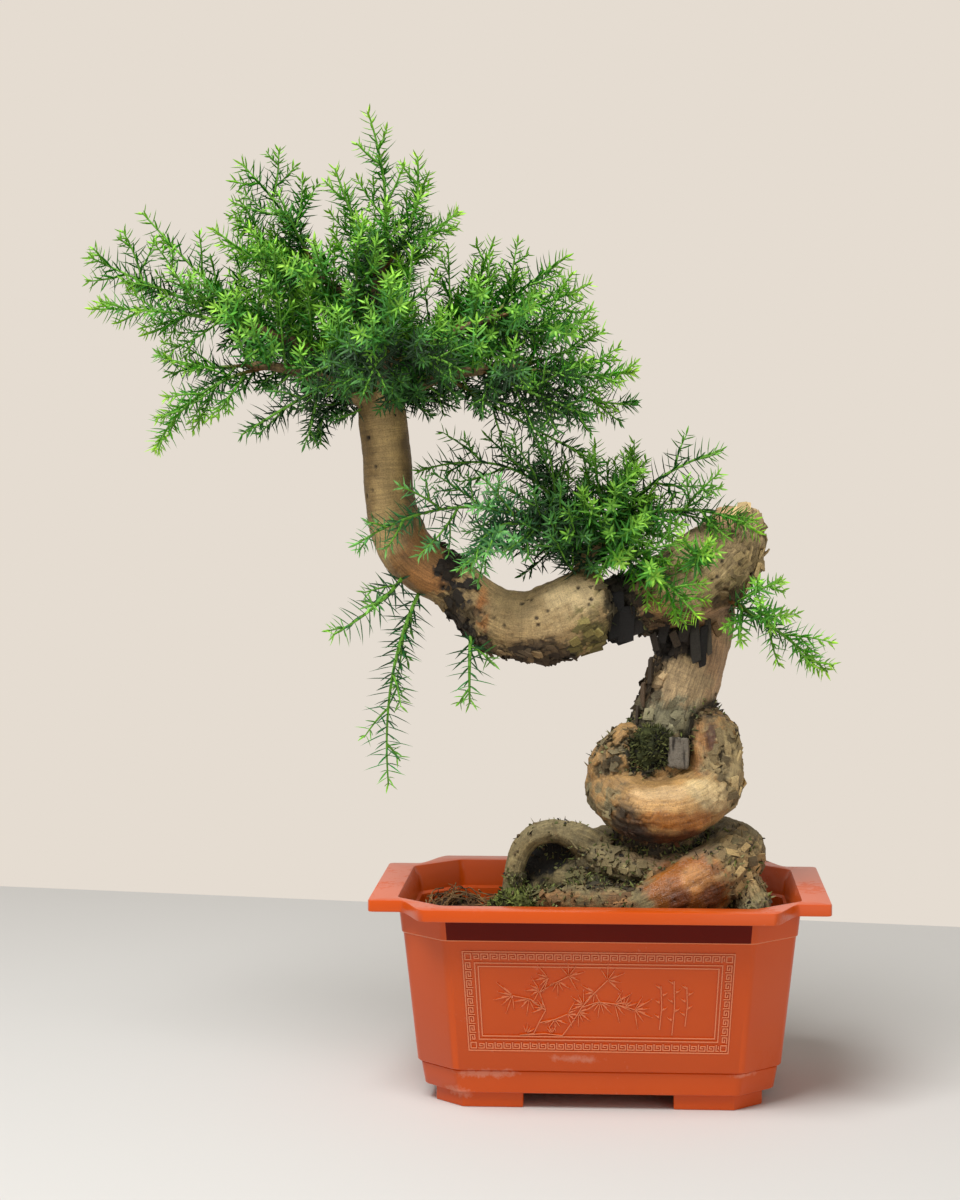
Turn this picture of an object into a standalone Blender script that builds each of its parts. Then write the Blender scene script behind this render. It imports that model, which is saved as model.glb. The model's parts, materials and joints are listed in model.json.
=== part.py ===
"""Bonsai conifer with a coiled base, standing in a flanged plastic pot.

Lengths below are in millimetres about the middle of the pot, on the plane its feet stand on:
X to the right of the pot's long front, Y to its back, Z up. place_on_floor moves the whole
object at the end, so that its overall box is centred on the origin and stands on Z = 0.
"""

import math

import bmesh
import bpy
from mathutils import Vector
from mathutils.bvhtree import BVHTree

MM = 0.001
SEAT_GAP = 0.3  # between two pieces that rest on each other
FUSE = 0.0001 * MM  # merge distance for the loose caps of a converted curve

# Pot: flange at the rim
RIM_HALF_WIDTH = 125.0  # to the ears at the two ends
RIM_HALF_DEPTH = 92.0  # to the long straight edges
RIM_TOP = 113.0
EAR_HALF_DEPTH = RIM_HALF_DEPTH - 29.0
EAR_SHOULDER = RIM_HALF_WIDTH - 17.0  # where an ear's straight side turns into the S-shaped corner
LONG_EDGE_HALF = EAR_SHOULDER - 16.0  # half of each long straight edge
LIP_HEIGHT = 6.4
LIP_WALL = 2.2
FLANGE_PLATE = 2.6
CORNER_STEPS = 6

# Pot: body, a rectangle with cut corners that tapers to the foot.
# Each section is its half width, half depth and corner cut.
FLANGE_ENDS = 15.5  # from the mouth out to the rim, at the two ends
FLANGE_SIDES = 15.0  # and at the long sides
BODY_TAPER = 7.5
MOUTH = (RIM_HALF_WIDTH - FLANGE_ENDS, RIM_HALF_DEPTH - FLANGE_SIDES, 25.5)
BODY_TOP = (MOUTH[0] - 2.7, MOUTH[1] - 1.9, 24.2)
BODY_BOTTOM = (BODY_TOP[0] - BODY_TAPER, BODY_TOP[1] - BODY_TAPER, 21.7)
PLINTH_TOP = (BODY_BOTTOM[0] - 1.9, BODY_BOTTOM[1] - 1.8, 20.9)
PLINTH_BOTTOM = (PLINTH_TOP[0] - 2.0, PLINTH_TOP[1] - 2.0, 20.1)
BAND_PROUD = 0.8
BAND_BOTTOM_Z = RIM_TOP - 19.3
BODY_BOTTOM_Z = 22.7
PLINTH_Z = 8.5
PLINTH_STEP = 1.2  # height of the step between the body and the plinth
WALL = 2.6
FLOOR_THICKNESS = 4.0
INNER_LEDGE_Z = RIM_TOP - 15.0
INNER_LEDGE = 1.2
MOUTH_OVERSHOOT = 0.01  # how far the cavity's cutter reaches past the rim

# Pot: four L-shaped feet under the cut corners, and the drain holes
FOOT_LENGTH = 48.3  # along the long side
FOOT_SIDE_LENGTH = 32.7  # along the short side
FOOT_CUT = 15.6
FOOT_WALL = 12.0
FOOT_OUTER = PLINTH_BOTTOM[0] - 6.4
FOOT_DEPTH = PLINTH_BOTTOM[1] - 3.1
FOOT_SUNK = 1.5  # how far a foot's block reaches into the floor above it
DRAIN_X = 45.0
DRAIN_RADIUS = 6.0
DRAIN_SIDES = 16

# Soil
SOIL_EDGE_Z = 84.0
SOIL_MOUND = ((0.82, 1.0), (0.62, 7.0), (0.4, 12.0), (0.2, 14.0))  # share of the plan, height over the edge

# Wood: each limb is a list of (x, y, z, radius). They grow into one another.
LIMBS = {
    "crown_to_knob": [
        (-123, 0, 470, 2.6), (-124, 0, 445, 4.5), (-123, 0, 420, 7), (-123, 0, 396, 11),
        (-123, 0, 378, 13.6), (-120, -1, 356, 13.8), (-118, -2, 328, 14.2), (-111, -3, 304, 15.2),
        (-98, -4, 290, 15), (-83, -4, 282, 14.6), (-71, -5, 272, 15.6), (-59, -6, 262, 18.6),
        (-41, -8, 258, 20.5), (-21, -8, 262, 22.3), (-7, -7, 268, 22.3), (4, -4, 270, 19),
        (12, 0, 270, 15.5), (22, 0, 271, 18.5), (38, -4, 277, 22.5), (56, -6, 287, 24.5),
        (68, -3, 299, 22), (74, 0, 312, 17), (75, 2, 323, 11),
    ],
    "lower_trunk": [
        (58, 2, 283, 17), (56, 5, 264, 18), (53, 6, 247, 18.8), (48, 6, 231, 20),
        (42, 6, 214, 21.5), (37, 6, 197, 22.5), (34, 4, 175, 22), (34, 2, 150, 24),
        (34, 0, 124, 27), (34, 0, 98, 28), (34, 0, 78, 22),
    ],
    "upper_coil": [
        (28, 22, 195, 12), (15, 16, 188, 13), (8, 3, 176, 14.5), (9, -12, 166, 16),
        (20, -24, 159, 16.8), (34, -28, 158, 17), (49, -24, 161, 17), (60, -11, 169, 16.5),
        (63, 4, 181, 15.5), (57, 16, 193, 14.5), (45, 20, 200, 13.5),
    ],
    "lower_coil": [
        (14, -40, 103, 10), (30, -40, 110, 13.5), (47, -37, 117, 16.5), (62, -27, 124, 17.5),
        (72, -10, 129, 17), (74, 8, 131, 16.2), (66, 25, 132, 15.2), (48, 35, 132, 15),
        (26, 37, 130, 15), (7, 29, 129, 14.5), (-4, 14, 129, 13), (-7, -2, 129, 10.5),
    ],
    "ledge_root": [(-8, -2, 129, 9), (8, -16, 127, 9.5), (28, -25, 126, 9.5), (50, -26, 127, 9)],
    "front_root": [
        (-62, -10, 86, 4), (-46, -16, 103, 6), (-22, -29, 109, 7), (6, -38, 110, 7.2),
        (30, -42, 110, 8),
    ],
    "arch_root": [
        (-53, -10, 86, 5), (-49, -8, 114, 5.8), (-45, -6, 131, 6.6), (-37, -6, 140, 7),
        (-25, -6, 143, 7.4), (-12, -6, 139, 8.4), (4, -4, 131, 9),
    ],
    "left_root": [(-4, 8, 122, 11), (-26, 4, 112, 9), (-46, 2, 98, 7), (-58, 0, 82, 5)],
    "left_back_root": [(-2, 22, 124, 11), (-20, 36, 109, 8), (-34, 46, 90, 5.5), (-40, 50, 76, 4)],
    "right_back_root": [(62, 28, 126, 11), (74, 42, 108, 8), (80, 50, 90, 5.5), (83, 53, 76, 4)],
    "right_root": [(74, -14, 122, 12), (84, -28, 106, 8.5), (90, -37, 88, 5.5), (93, -40, 76, 4)],
    "cut_stub": [(43, 0, 184, 7), (44, -16, 186, 6.4), (44, -27, 187, 6)],
    "left_upper_limb": [(-126, -2, 388, 5.5), (-150, -6, 407, 4), (-180, -9, 419, 3), (-204, -11, 429, 2.2)],
    "left_lower_limb": [(-126, -4, 380, 5.5), (-150, -12, 393, 4), (-175, -18, 401, 3), (-196, -21, 403, 2.2)],
    "left_back_limb": [(-126, 3, 385, 5), (-150, 24, 407, 3.6), (-174, 42, 422, 2.4)],
    "upper_left_limb": [(-124, 0, 420, 4.5), (-138, 0, 436, 3.4), (-160, 0, 456, 2.2)],
    "right_upper_limb": [(-121, 0, 392, 5.5), (-98, -2, 412, 4), (-74, -4, 424, 3), (-56, -5, 430, 2.2)],
    "right_middle_limb": [(-120, -3, 382, 5.5), (-92, -12, 396, 4), (-65, -18, 400, 3), (-44, -20, 401, 2.2)],
    "right_back_limb": [(-120, 4, 385, 5), (-96, 26, 404, 3.6), (-73, 45, 416, 2.4)],
    "front_limb": [(-122, -4, 382, 5), (-118, -28, 398, 3.6), (-114, -44, 406, 2.4)],
    "back_limb": [(-123, 4, 384, 5), (-126, 30, 402, 3.6), (-128, 50, 413, 2.4)],
    "middle_branch": [(-8, -7, 272, 9), (-9, -6, 290, 6), (-10, -6, 303, 3.5)],
    "middle_left_twig": [(-10, -6, 296, 4), (-24, -9, 310, 2.8), (-35, -10, 317, 2.2)],
    "middle_right_twig": [(-9, -6, 297, 4), (6, -8, 311, 2.8), (21, -10, 319, 2.2)],
}
LIMB_STEP = 10.0  # spacing of the rings along a limb
THICK_LIMB = 8.0  # a limb this thick somewhere has ten sides, a thinner one has six
SOIL_CLEARANCE = 0.4  # room that the soil and the moss leave round the wood
BURIED_LIMBS = (
    "lower_trunk", "lower_coil", "upper_coil", "ledge_root", "front_root", "arch_root",
    "left_root", "left_back_root", "right_back_root", "right_root", "cut_stub",
)

# Leafy shoots: where each springs from the wood, the middle of its bow, and its tip
SHOOTS = {
    "left_rising": ((-195, -10, 426), (-222, -9, 452), (-256, -6, 488)),
    "left_long": ((-203, -11, 429), (-244, -17, 445), (-284, -18, 463)),
    "left_front": ((-184, -9, 420), (-232, -27, 431), (-279, -34, 433)),
    "left_low_tip": ((-195, -21, 403), (-222, -25, 402), (-243, -28, 408)),
    "left_drooping": ((-184, -19, 402), (-220, -33, 386), (-244, -38, 356)),
    "under_left_front": ((-150, -12, 393), (-172, -27, 380), (-197, -34, 364)),
    "under_left_back": ((-124, 2, 383), (-154, 12, 379), (-160, 24, 359)),
    "upper_left_tall": ((-159, 0, 455), (-178, 1, 488), (-202, 4, 516)),
    "upper_left_front": ((-152, 0, 449), (-182, -18, 457), (-214, -24, 478)),
    "upper_left_back": ((-150, 0, 447), (-182, 20, 468), (-209, 28, 489)),
    "spire_leader": ((-123, 0, 469), (-121, 0, 502), (-130, 0, 543)),
    "spire_left": ((-124, 0, 448), (-136, -11, 480), (-147, -15, 511)),
    "spire_right": ((-123, 0, 454), (-105, -7, 484), (-102, -8, 518)),
    "spire_front": ((-124, 0, 430), (-134, -26, 450), (-129, -32, 481)),
    "spire_side": ((-123, 0, 438), (-104, 12, 466), (-81, 16, 490)),
    "spire_back": ((-124, 0, 438), (-130, 26, 460), (-131, 42, 487)),
    "front_upright": ((-117, -30, 399), (-106, -44, 428), (-102, -42, 466)),
    "right_top_short": ((-84, -3, 419), (-72, 9, 444), (-61, 16, 474)),
    "right_top_long": ((-64, -4, 427), (-42, 4, 447), (-19, 7, 464)),
    "right_upper_tip": ((-57, -5, 430), (-31, -13, 437), (-6, -20, 447)),
    "right_front": ((-72, -4, 424), (-36, -27, 421), (-5, -34, 427)),
    "right_mid_rising": ((-56, -19, 401), (-24, -20, 408), (2, -15, 422)),
    "right_mid_tip": ((-45, -20, 401), (-13, -34, 397), (17, -38, 398)),
    "right_low": ((-50, -19, 401), (-16, -15, 386), (18, -13, 381)),
    "right_low_front": ((-66, -18, 400), (-35, -46, 386), (-6, -56, 374)),
    "right_drooping": ((-86, -13, 397), (-48, -18, 374), (-1, -20, 349)),
    "front_tip": ((-114, -43, 406), (-119, -66, 401), (-124, -87, 385)),
    "front_left": ((-118, -28, 398), (-139, -54, 402), (-161, -70, 393)),
    "front_right": ((-115, -38, 403), (-93, -57, 406), (-72, -72, 397)),
    "front_rising": ((-114, -42, 405), (-113, -66, 424), (-108, -82, 448)),
    "back_tip": ((-128, 49, 412), (-133, 70, 409), (-139, 88, 394)),
    "back_left": ((-126, 34, 404), (-150, 60, 404), (-174, 76, 393)),
    "back_right": ((-126, 30, 402), (-104, 54, 408), (-82, 76, 402)),
    "back_rising": ((-128, 46, 411), (-126, 66, 434), (-122, 82, 457)),
    "left_back_tip": ((-173, 41, 421), (-202, 50, 437), (-232, 56, 450)),
    "left_back_rising": ((-165, 35, 417), (-180, 50, 446), (-190, 62, 468)),
    "right_back_tip": ((-74, 44, 415), (-48, 54, 424), (-20, 60, 430)),
    "right_back_low": ((-86, 34, 409), (-56, 38, 400), (-30, 40, 385)),
    "right_back_rising": ((-80, 39, 412), (-66, 56, 438), (-50, 66, 458)),
    "middle_left_top": ((-10, -6, 301), (-46, -6, 344), (-103, -2, 344)),
    "middle_left_long": ((-34, -10, 316), (-84, -25, 324), (-134, -36, 304)),
    "middle_left_hanging": ((-26, -9, 311), (-56, -38, 314), (-70, -50, 290)),
    "middle_up": ((-9, -6, 301), (4, -18, 330), (20, -23, 346)),
    "middle_right_top": ((4, -8, 309), (31, 5, 339), (68, 10, 356)),
    "middle_right_long": ((20, -10, 319), (54, -24, 323), (86, -33, 311)),
    "middle_front": ((0, -7, 305), (28, -36, 290), (53, -54, 266)),
    "middle_back": ((-10, -6, 298), (-24, 18, 330), (-34, 36, 353)),
    "knob_right": ((62, -10, 278), (95, -40, 259), (123, -42, 236)),
    "knob_front": ((56, -6, 289), (52, -48, 302), (62, -60, 314)),
    "hanging_long": ((-100, -4, 281), (-114, -37, 230), (-116, -36, 172)),
    "hanging_left": ((-106, -4, 290), (-124, -32, 270), (-146, -40, 255)),
    "hanging_short": ((-72, -5, 262), (-72, -26, 237), (-72, -24, 216)),
}
SHOOT_RADIUS = 8.5  # out to the needles' tips
SHOOT_SIDES = 6
SHOOT_STEP = 7.0  # between the tall and the short whorls that make its outline
SHORT_WHORL = 0.68
SHOOT_BARE = 3.0  # bare twig at the base
TWIG_RADIUS = 0.9
SHOOT_SWELL = 22.0  # distance from the base over which it comes to its full width
SHOOT_POINT = 16.0  # distance from the tip over which it narrows
SHOOT_SPACE = 0.5  # air between two shoots

# Moss: centre, half sizes. Two pads lie on the soil and one fills the hollow in the wood.
MOSS = {
    "moss_left": ((-46, -14, SOIL_EDGE_Z + 20), (20, 14, 15)),
    "moss_hollow": ((26, -17, 189), (12, 9, 11)),
    "moss_back": ((16, 58, SOIL_EDGE_Z + 8), (26, 10, 9)),
}

# Dry fibres in the left rear corner: runs of (x, y, height above the soil)
ROOTLETS = [
    [(-98, 22, 0.4), (-86, 34, 3), (-74, 44, 4), (-60, 56, 0.6)],
    [(-96, 42, 0.4), (-82, 38, 3.4), (-68, 36, 3), (-54, 44, 0.4)],
    [(-84, 54, 0.6), (-79, 41, 3.8), (-72, 30, 2), (-66, 20, 0.4)],
]
ROOTLET_RADIUS = 0.9


# ---------------------------------------------------------------- helpers


def material(name, color, roughness):
    """A Principled BSDF in one colour, from linear RGB."""
    made = bpy.data.materials.new(name)
    made.use_nodes = True
    shader = made.node_tree.nodes["Principled BSDF"]
    shader.inputs["Base Color"].default_value = (*color, 1)
    shader.inputs["Roughness"].default_value = roughness
    made.diffuse_color = (*color, 1)
    return made


def new_object(name, mesh, collection):
    made = bpy.data.objects.new(name, mesh)
    collection.objects.link(made)
    return made


def as_cutter(obj):
    obj.hide_render = True
    obj.display_type = "WIRE"
    return obj


def boolean(target, operand, operation):
    modifier = target.modifiers.new(f"{operation.title()} {operand.name}", "BOOLEAN")
    modifier.object = operand
    modifier.operation = operation
    modifier.solver = "EXACT"


def cut_corner_outline(half_width, half_depth, cut):
    """A rectangle with its four corners cut, anticlockwise from above."""
    x, y = half_width - cut, half_depth - cut
    return [
        (half_width, -y), (half_width, y), (x, half_depth), (-x, half_depth),
        (-half_width, y), (-half_width, -y), (-x, -half_depth), (x, -half_depth),
    ]


def rim_outline(inset):
    """The flange's plan, with an S-curve between each ear and the long edge beside it."""
    ear_end = RIM_HALF_WIDTH - inset
    ear_side = EAR_HALF_DEPTH - inset
    edge = RIM_HALF_DEPTH - inset
    quarter = [(ear_end, ear_side)]
    for step in range(CORNER_STEPS + 1):
        share = step / CORNER_STEPS
        x = EAR_SHOULDER + (LONG_EDGE_HALF - EAR_SHOULDER) * share
        quarter.append((x, ear_side + (edge - ear_side) * (0.5 - 0.5 * math.cos(math.pi * share))))
    right = [(x, -y) for x, y in reversed(quarter)] + quarter
    return right + [(-x, -y) for x, y in right]


def loft(name, sections, collection):
    """A closed solid through (height, outline) sections, whose outlines have equal point counts."""
    bm = bmesh.new()
    rings = [[bm.verts.new((x * MM, y * MM, z * MM)) for x, y in outline] for z, outline in sections]
    for low, high in zip(rings, rings[1:]):
        for i in range(len(low)):
            j = (i + 1) % len(low)
            bm.faces.new((low[i], low[j], high[j], high[i]))
    bm.faces.new(reversed(rings[0]))
    bm.faces.new(rings[-1])
    mesh = bpy.data.meshes.new(name)
    bm.to_mesh(mesh)
    bm.free()
    return new_object(name, mesh, collection)


def smooth_run(stations, step):
    """Points about a step apart on a Catmull-Rom curve through stations, radius included."""
    points = [Vector(station) for station in stations]
    padded = [2 * points[0] - points[1], *points, 2 * points[-1] - points[-2]]
    run = []
    for a, b, c, d in zip(padded, padded[1:], padded[2:], padded[3:]):
        count = max(1, round((c.xyz - b.xyz).length / step))
        for i in range(count):
            t = i / count
            run.append(
                0.5 * (2 * b + (c - a) * t + (2 * a - 5 * b + 4 * c - d) * t**2 + (3 * b - a - 3 * c + d) * t**3)
            )
    return [*run, points[-1]]


def tube(name, stations, extra_radius, collection):
    """A limb as a mesh: a bevelled curve with a radius of its own at each point."""
    thick = max(station[3] for station in stations) >= THICK_LIMB
    run = smooth_run(stations, LIMB_STEP)
    curve = bpy.data.curves.new(name, "CURVE")
    curve.dimensions = "3D"
    curve.bevel_depth = MM
    curve.bevel_resolution = 3 if thick else 1
    curve.use_fill_caps = True
    spline = curve.splines.new("POLY")
    spline.points.add(len(run) - 1)
    for point, (x, y, z, radius) in zip(spline.points, run):
        point.co = (x * MM, y * MM, z * MM, 1)
        point.radius = radius + extra_radius
    guide = new_object(name + " curve", curve, collection)
    bpy.context.view_layer.update()
    evaluated = guide.evaluated_get(bpy.context.evaluated_depsgraph_get())
    mesh = bpy.data.meshes.new_from_object(evaluated)
    mesh.name = name
    bpy.data.objects.remove(guide)
    bm = bmesh.new()
    bm.from_mesh(mesh)
    bmesh.ops.remove_doubles(bm, verts=bm.verts, dist=FUSE)
    bmesh.ops.recalc_face_normals(bm, faces=bm.faces)
    bm.to_mesh(mesh)
    bm.free()
    return new_object(name, mesh, collection)


def surface(obj):
    """The evaluated surface of an object, to measure distances to."""
    bpy.context.view_layer.update()
    return BVHTree.FromObject(obj, bpy.context.evaluated_depsgraph_get())


# ---------------------------------------------------------------- pot and soil


def shrunk(section, wall):
    """A cut-corner section moved in by a wall's thickness."""
    half_width, half_depth, cut = section
    return half_width - wall, half_depth - wall, cut - wall * (2 - math.sqrt(2))


def between(low, low_z, high, high_z, z):
    share = (z - low_z) / (high_z - low_z)
    return tuple(a + (b - a) * share for a, b in zip(low, high))


def body_section(z):
    """The outside of the tapering body at a height."""
    return between(BODY_BOTTOM, BODY_BOTTOM_Z, BODY_TOP, BAND_BOTTOM_Z, z)


def cavity_sections(gap):
    """The inside of the pot from its floor up, moved in by a gap."""
    floor_z = PLINTH_Z + FLOOR_THICKNESS
    lower = [
        (floor_z, shrunk(PLINTH_BOTTOM, WALL + gap)),
        (BODY_BOTTOM_Z, shrunk(BODY_BOTTOM, WALL + gap)),
        (INNER_LEDGE_Z - INNER_LEDGE, shrunk(body_section(INNER_LEDGE_Z - INNER_LEDGE), WALL + gap)),
    ]
    upper = [
        (INNER_LEDGE_Z, shrunk(body_section(INNER_LEDGE_Z), WALL - INNER_LEDGE + gap)),
        (RIM_TOP - LIP_HEIGHT, shrunk(body_section(RIM_TOP - LIP_HEIGHT), WALL - INNER_LEDGE + gap)),
        (RIM_TOP + MOUTH_OVERSHOOT, MOUTH),
    ]
    return lower, upper


def make_pot(parts, cutters):
    band_top = RIM_TOP - FLANGE_PLATE / 2
    body = [
        (PLINTH_Z, PLINTH_BOTTOM),
        (BODY_BOTTOM_Z - PLINTH_STEP, PLINTH_TOP),
        (BODY_BOTTOM_Z, BODY_BOTTOM),
        (BAND_BOTTOM_Z - BAND_PROUD, body_section(BAND_BOTTOM_Z - BAND_PROUD)),
        (BAND_BOTTOM_Z, shrunk(body_section(BAND_BOTTOM_Z), -BAND_PROUD)),
        (band_top, shrunk(body_section(band_top), -BAND_PROUD)),
    ]
    pot = loft("pot", [(z, cut_corner_outline(*section)) for z, section in body], parts)

    flange = [(RIM_TOP - LIP_HEIGHT, rim_outline(0)), (RIM_TOP, rim_outline(0))]
    rim = as_cutter(loft("rim block", flange, cutters))
    under = [(RIM_TOP - LIP_HEIGHT - 1, rim_outline(LIP_WALL)), (RIM_TOP - FLANGE_PLATE, rim_outline(LIP_WALL))]
    hollow = as_cutter(loft("under the flange", under, cutters))
    boolean(rim, hollow, "DIFFERENCE")
    boolean(pot, rim, "UNION")

    for number, (side_x, side_y) in enumerate(((1, 1), (-1, 1), (-1, -1), (1, -1)), start=1):
        foot = as_cutter(loft(f"foot {number}", foot_sections(side_x, side_y), cutters))
        boolean(pot, foot, "UNION")

    lower, upper = cavity_sections(0)
    cavity = [(z, cut_corner_outline(*section)) for z, section in lower + upper]
    boolean(pot, as_cutter(loft("cavity", cavity, cutters)), "DIFFERENCE")

    for side in (-1, 1):
        bpy.ops.mesh.primitive_cylinder_add(
            vertices=DRAIN_SIDES, radius=DRAIN_RADIUS * MM, depth=4 * FLOOR_THICKNESS * MM,
            location=(side * DRAIN_X * MM, 0, PLINTH_Z * MM),
        )
        drain = bpy.context.object
        drain.name = f"drain {side}"
        bpy.context.collection.objects.unlink(drain)
        cutters.objects.link(drain)
        boolean(pot, as_cutter(drain), "DIFFERENCE")
    pot.data.materials.append(material("terracotta plastic", (0.52, 0.06, 0.014), 0.38))
    return pot


def foot_sections(side_x, side_y):
    """One corner foot: an L that follows the cut corner, mirrored into its quarter."""
    outer, inner = FOOT_OUTER, FOOT_OUTER - FOOT_WALL
    back = FOOT_DEPTH - FOOT_WALL
    outline = [
        (outer - FOOT_LENGTH, back), (inner - FOOT_CUT / 2, back), (inner, back - FOOT_CUT / 2),
        (inner, FOOT_DEPTH - FOOT_SIDE_LENGTH), (outer, FOOT_DEPTH - FOOT_SIDE_LENGTH),
        (outer, FOOT_DEPTH - FOOT_CUT), (outer - FOOT_CUT, FOOT_DEPTH), (outer - FOOT_LENGTH, FOOT_DEPTH),
    ]
    outline = [(x * side_x, y * side_y) for x, y in outline]
    if side_x * side_y < 0:
        outline.reverse()
    return [(0, outline), (PLINTH_Z + FOOT_SUNK, outline)]


def make_soil(parts):
    lower, _ = cavity_sections(SEAT_GAP)
    top = shrunk(body_section(SOIL_EDGE_Z), WALL + SEAT_GAP)
    floor_z, floor_section = lower[0]
    sections = [(floor_z + SEAT_GAP, floor_section), lower[1], (SOIL_EDGE_Z, top)]
    for share, rise in SOIL_MOUND:
        sections.append((SOIL_EDGE_Z + rise, tuple(size * share for size in top)))
    soil = loft("soil", [(z, cut_corner_outline(*section)) for z, section in sections], parts)
    soil.data.materials.append(material("potting mix", (0.02, 0.013, 0.009), 0.95))
    return soil


# ---------------------------------------------------------------- wood


def make_wood(parts, cutters):
    """All the limbs joined into the one piece that they grew as."""
    wood = None
    for name, stations in LIMBS.items():
        limb = tube(name, stations, 0, parts if wood is None else cutters)
        if wood is None:
            wood = limb
            wood.name = "tree_wood"
        else:
            boolean(wood, as_cutter(limb), "UNION")
    wood.data.materials.append(material("bark", (0.3, 0.19, 0.09), 0.8))
    return wood


def clear_of_wood(piece, cutters):
    """Cuts the buried limbs out of the soil or the moss, with their clearance."""
    for name in BURIED_LIMBS:
        cutter_name = f"{name} clearance"
        cutter = cutters.objects.get(cutter_name)
        if cutter is None:
            cutter = as_cutter(tube(cutter_name, LIMBS[name], SOIL_CLEARANCE, cutters))
        boolean(piece, cutter, "DIFFERENCE")


# ---------------------------------------------------------------- shoots


def seat_on_wood(wood, base, heading):
    """The point just off the bark where a shoot starts, on the side that it grows to."""
    reach = 40 * MM
    hit, normal, _, _ = wood.ray_cast(base + heading * reach, -heading, reach)
    if hit is None:
        hit, normal, _, _ = wood.find_nearest(base)
    return hit + normal * SEAT_GAP * MM


def shoot_axis(wood, stations):
    """The shoot's bowed centre line, as a function of a share from 0 at the wood to 1 at the tip."""
    base, middle, tip = (Vector(station) * MM for station in stations)
    start = seat_on_wood(wood, base, (middle - base).normalized())
    control = 2 * middle - (start + tip) / 2

    def at(share):
        return start * (1 - share) ** 2 + control * 2 * share * (1 - share) + tip * share**2

    return at


def shoot_width(distance, length):
    """Radius in millimetres of the needles' outline, at a distance from the base."""
    swell = min(1, (distance - SHOOT_BARE) / (SHOOT_SWELL - SHOOT_BARE))
    point = min(1, 0.35 + 0.65 * (length - distance) / SHOOT_POINT)
    return TWIG_RADIUS + (SHOOT_RADIUS - TWIG_RADIUS) * max(0, swell) * point


def make_shoot(name, at, others, wood, parts, leaf):
    """A closed bottle-brush outline round one shoot, no wider than its neighbours leave room for."""
    length = sum((at((i + 1) / 20) - at(i / 20)).length for i in range(20)) / MM
    steps = max(3, round((length - SHOOT_BARE) / SHOOT_STEP))
    bm = bmesh.new()
    rings = []
    side = Vector((0, 0, 1))
    for step in range(steps):
        distance = SHOOT_BARE + (length - SHOOT_BARE) * step / steps
        share = distance / length
        centre = at(share)
        heading = (at(share + 0.01) - at(share - 0.01)).normalized()
        side = (side - heading * side.dot(heading)).normalized()
        across = heading.cross(side)
        width = shoot_width(distance, length) * (SHORT_WHORL if step % 2 else 1)
        room = min((centre - point).length for point in others) / MM
        bark = (wood.find_nearest(centre)[3]) / MM
        width = min(width, (room - SHOOT_SPACE) / 2, bark - SEAT_GAP)
        rings.append([
            bm.verts.new(centre + (side * math.cos(angle) + across * math.sin(angle)) * width * MM)
            for angle in (2 * math.pi * k / SHOOT_SIDES for k in range(SHOOT_SIDES))
        ])
    foot, tip = bm.verts.new(at(0)), bm.verts.new(at(1))
    for i in range(SHOOT_SIDES):
        j = (i + 1) % SHOOT_SIDES
        bm.faces.new((foot, rings[0][j], rings[0][i]))
        bm.faces.new((tip, rings[-1][i], rings[-1][j]))
        for low, high in zip(rings, rings[1:]):
            bm.faces.new((low[i], low[j], high[j], high[i]))
    bmesh.ops.recalc_face_normals(bm, faces=bm.faces)
    mesh = bpy.data.meshes.new(name)
    bm.to_mesh(mesh)
    bm.free()
    shoot = new_object(name, mesh, parts)
    shoot.data.materials.append(leaf)


def make_shoots(wood, parts):
    leaf = material("juniper needles", (0.06, 0.27, 0.03), 0.55)
    bark = surface(wood)
    axes = {name: shoot_axis(bark, stations) for name, stations in SHOOTS.items()}
    traces = {name: [at(i / 60) for i in range(61)] for name, at in axes.items()}
    for name, at in axes.items():
        others = [point for other, trace in traces.items() if other != name for point in trace]
        make_shoot(f"shoot_{name}", at, others, bark, parts, leaf)


# ---------------------------------------------------------------- moss and fibres


def make_moss(soil, parts, cutters):
    green = material("moss", (0.13, 0.15, 0.04), 0.95)
    raised = as_cutter(new_object("soil raised", soil.data.copy(), cutters))
    raised.location.z = SEAT_GAP * MM
    for name, (centre, half_size) in MOSS.items():
        mesh = bpy.data.meshes.new(name)
        bm = bmesh.new()
        bmesh.ops.create_icosphere(bm, subdivisions=2, radius=1)
        for vert in bm.verts:
            vert.co = Vector([(c + h * v) * MM for c, h, v in zip(centre, half_size, vert.co)])
        bm.to_mesh(mesh)
        bm.free()
        moss = new_object(name, mesh, parts)
        boolean(moss, raised, "DIFFERENCE")
        clear_of_wood(moss, cutters)
        moss.data.materials.append(green)


def make_rootlets(soil, parts, cutters):
    """Thin dead fibres that cross each other and lie on the soil."""
    ground = surface(soil)
    tangle = None
    for number, run in enumerate(ROOTLETS, start=1):
        stations = []
        for x, y, lift in run:
            hit = ground.ray_cast(Vector((x, y, RIM_TOP)) * MM, Vector((0, 0, -1)))[0]
            stations.append((x, y, hit.z / MM + lift + SEAT_GAP + ROOTLET_RADIUS, ROOTLET_RADIUS))
        fibre = tube(f"fibre {number}", stations, 0, parts if tangle is None else cutters)
        if tangle is None:
            tangle = fibre
            tangle.name = "dry_rootlets"
        else:
            boolean(tangle, as_cutter(fibre), "UNION")
    tangle.data.materials.append(material("dry fibre", (0.12, 0.075, 0.04), 0.9))


# ---------------------------------------------------------------- the whole object


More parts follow.
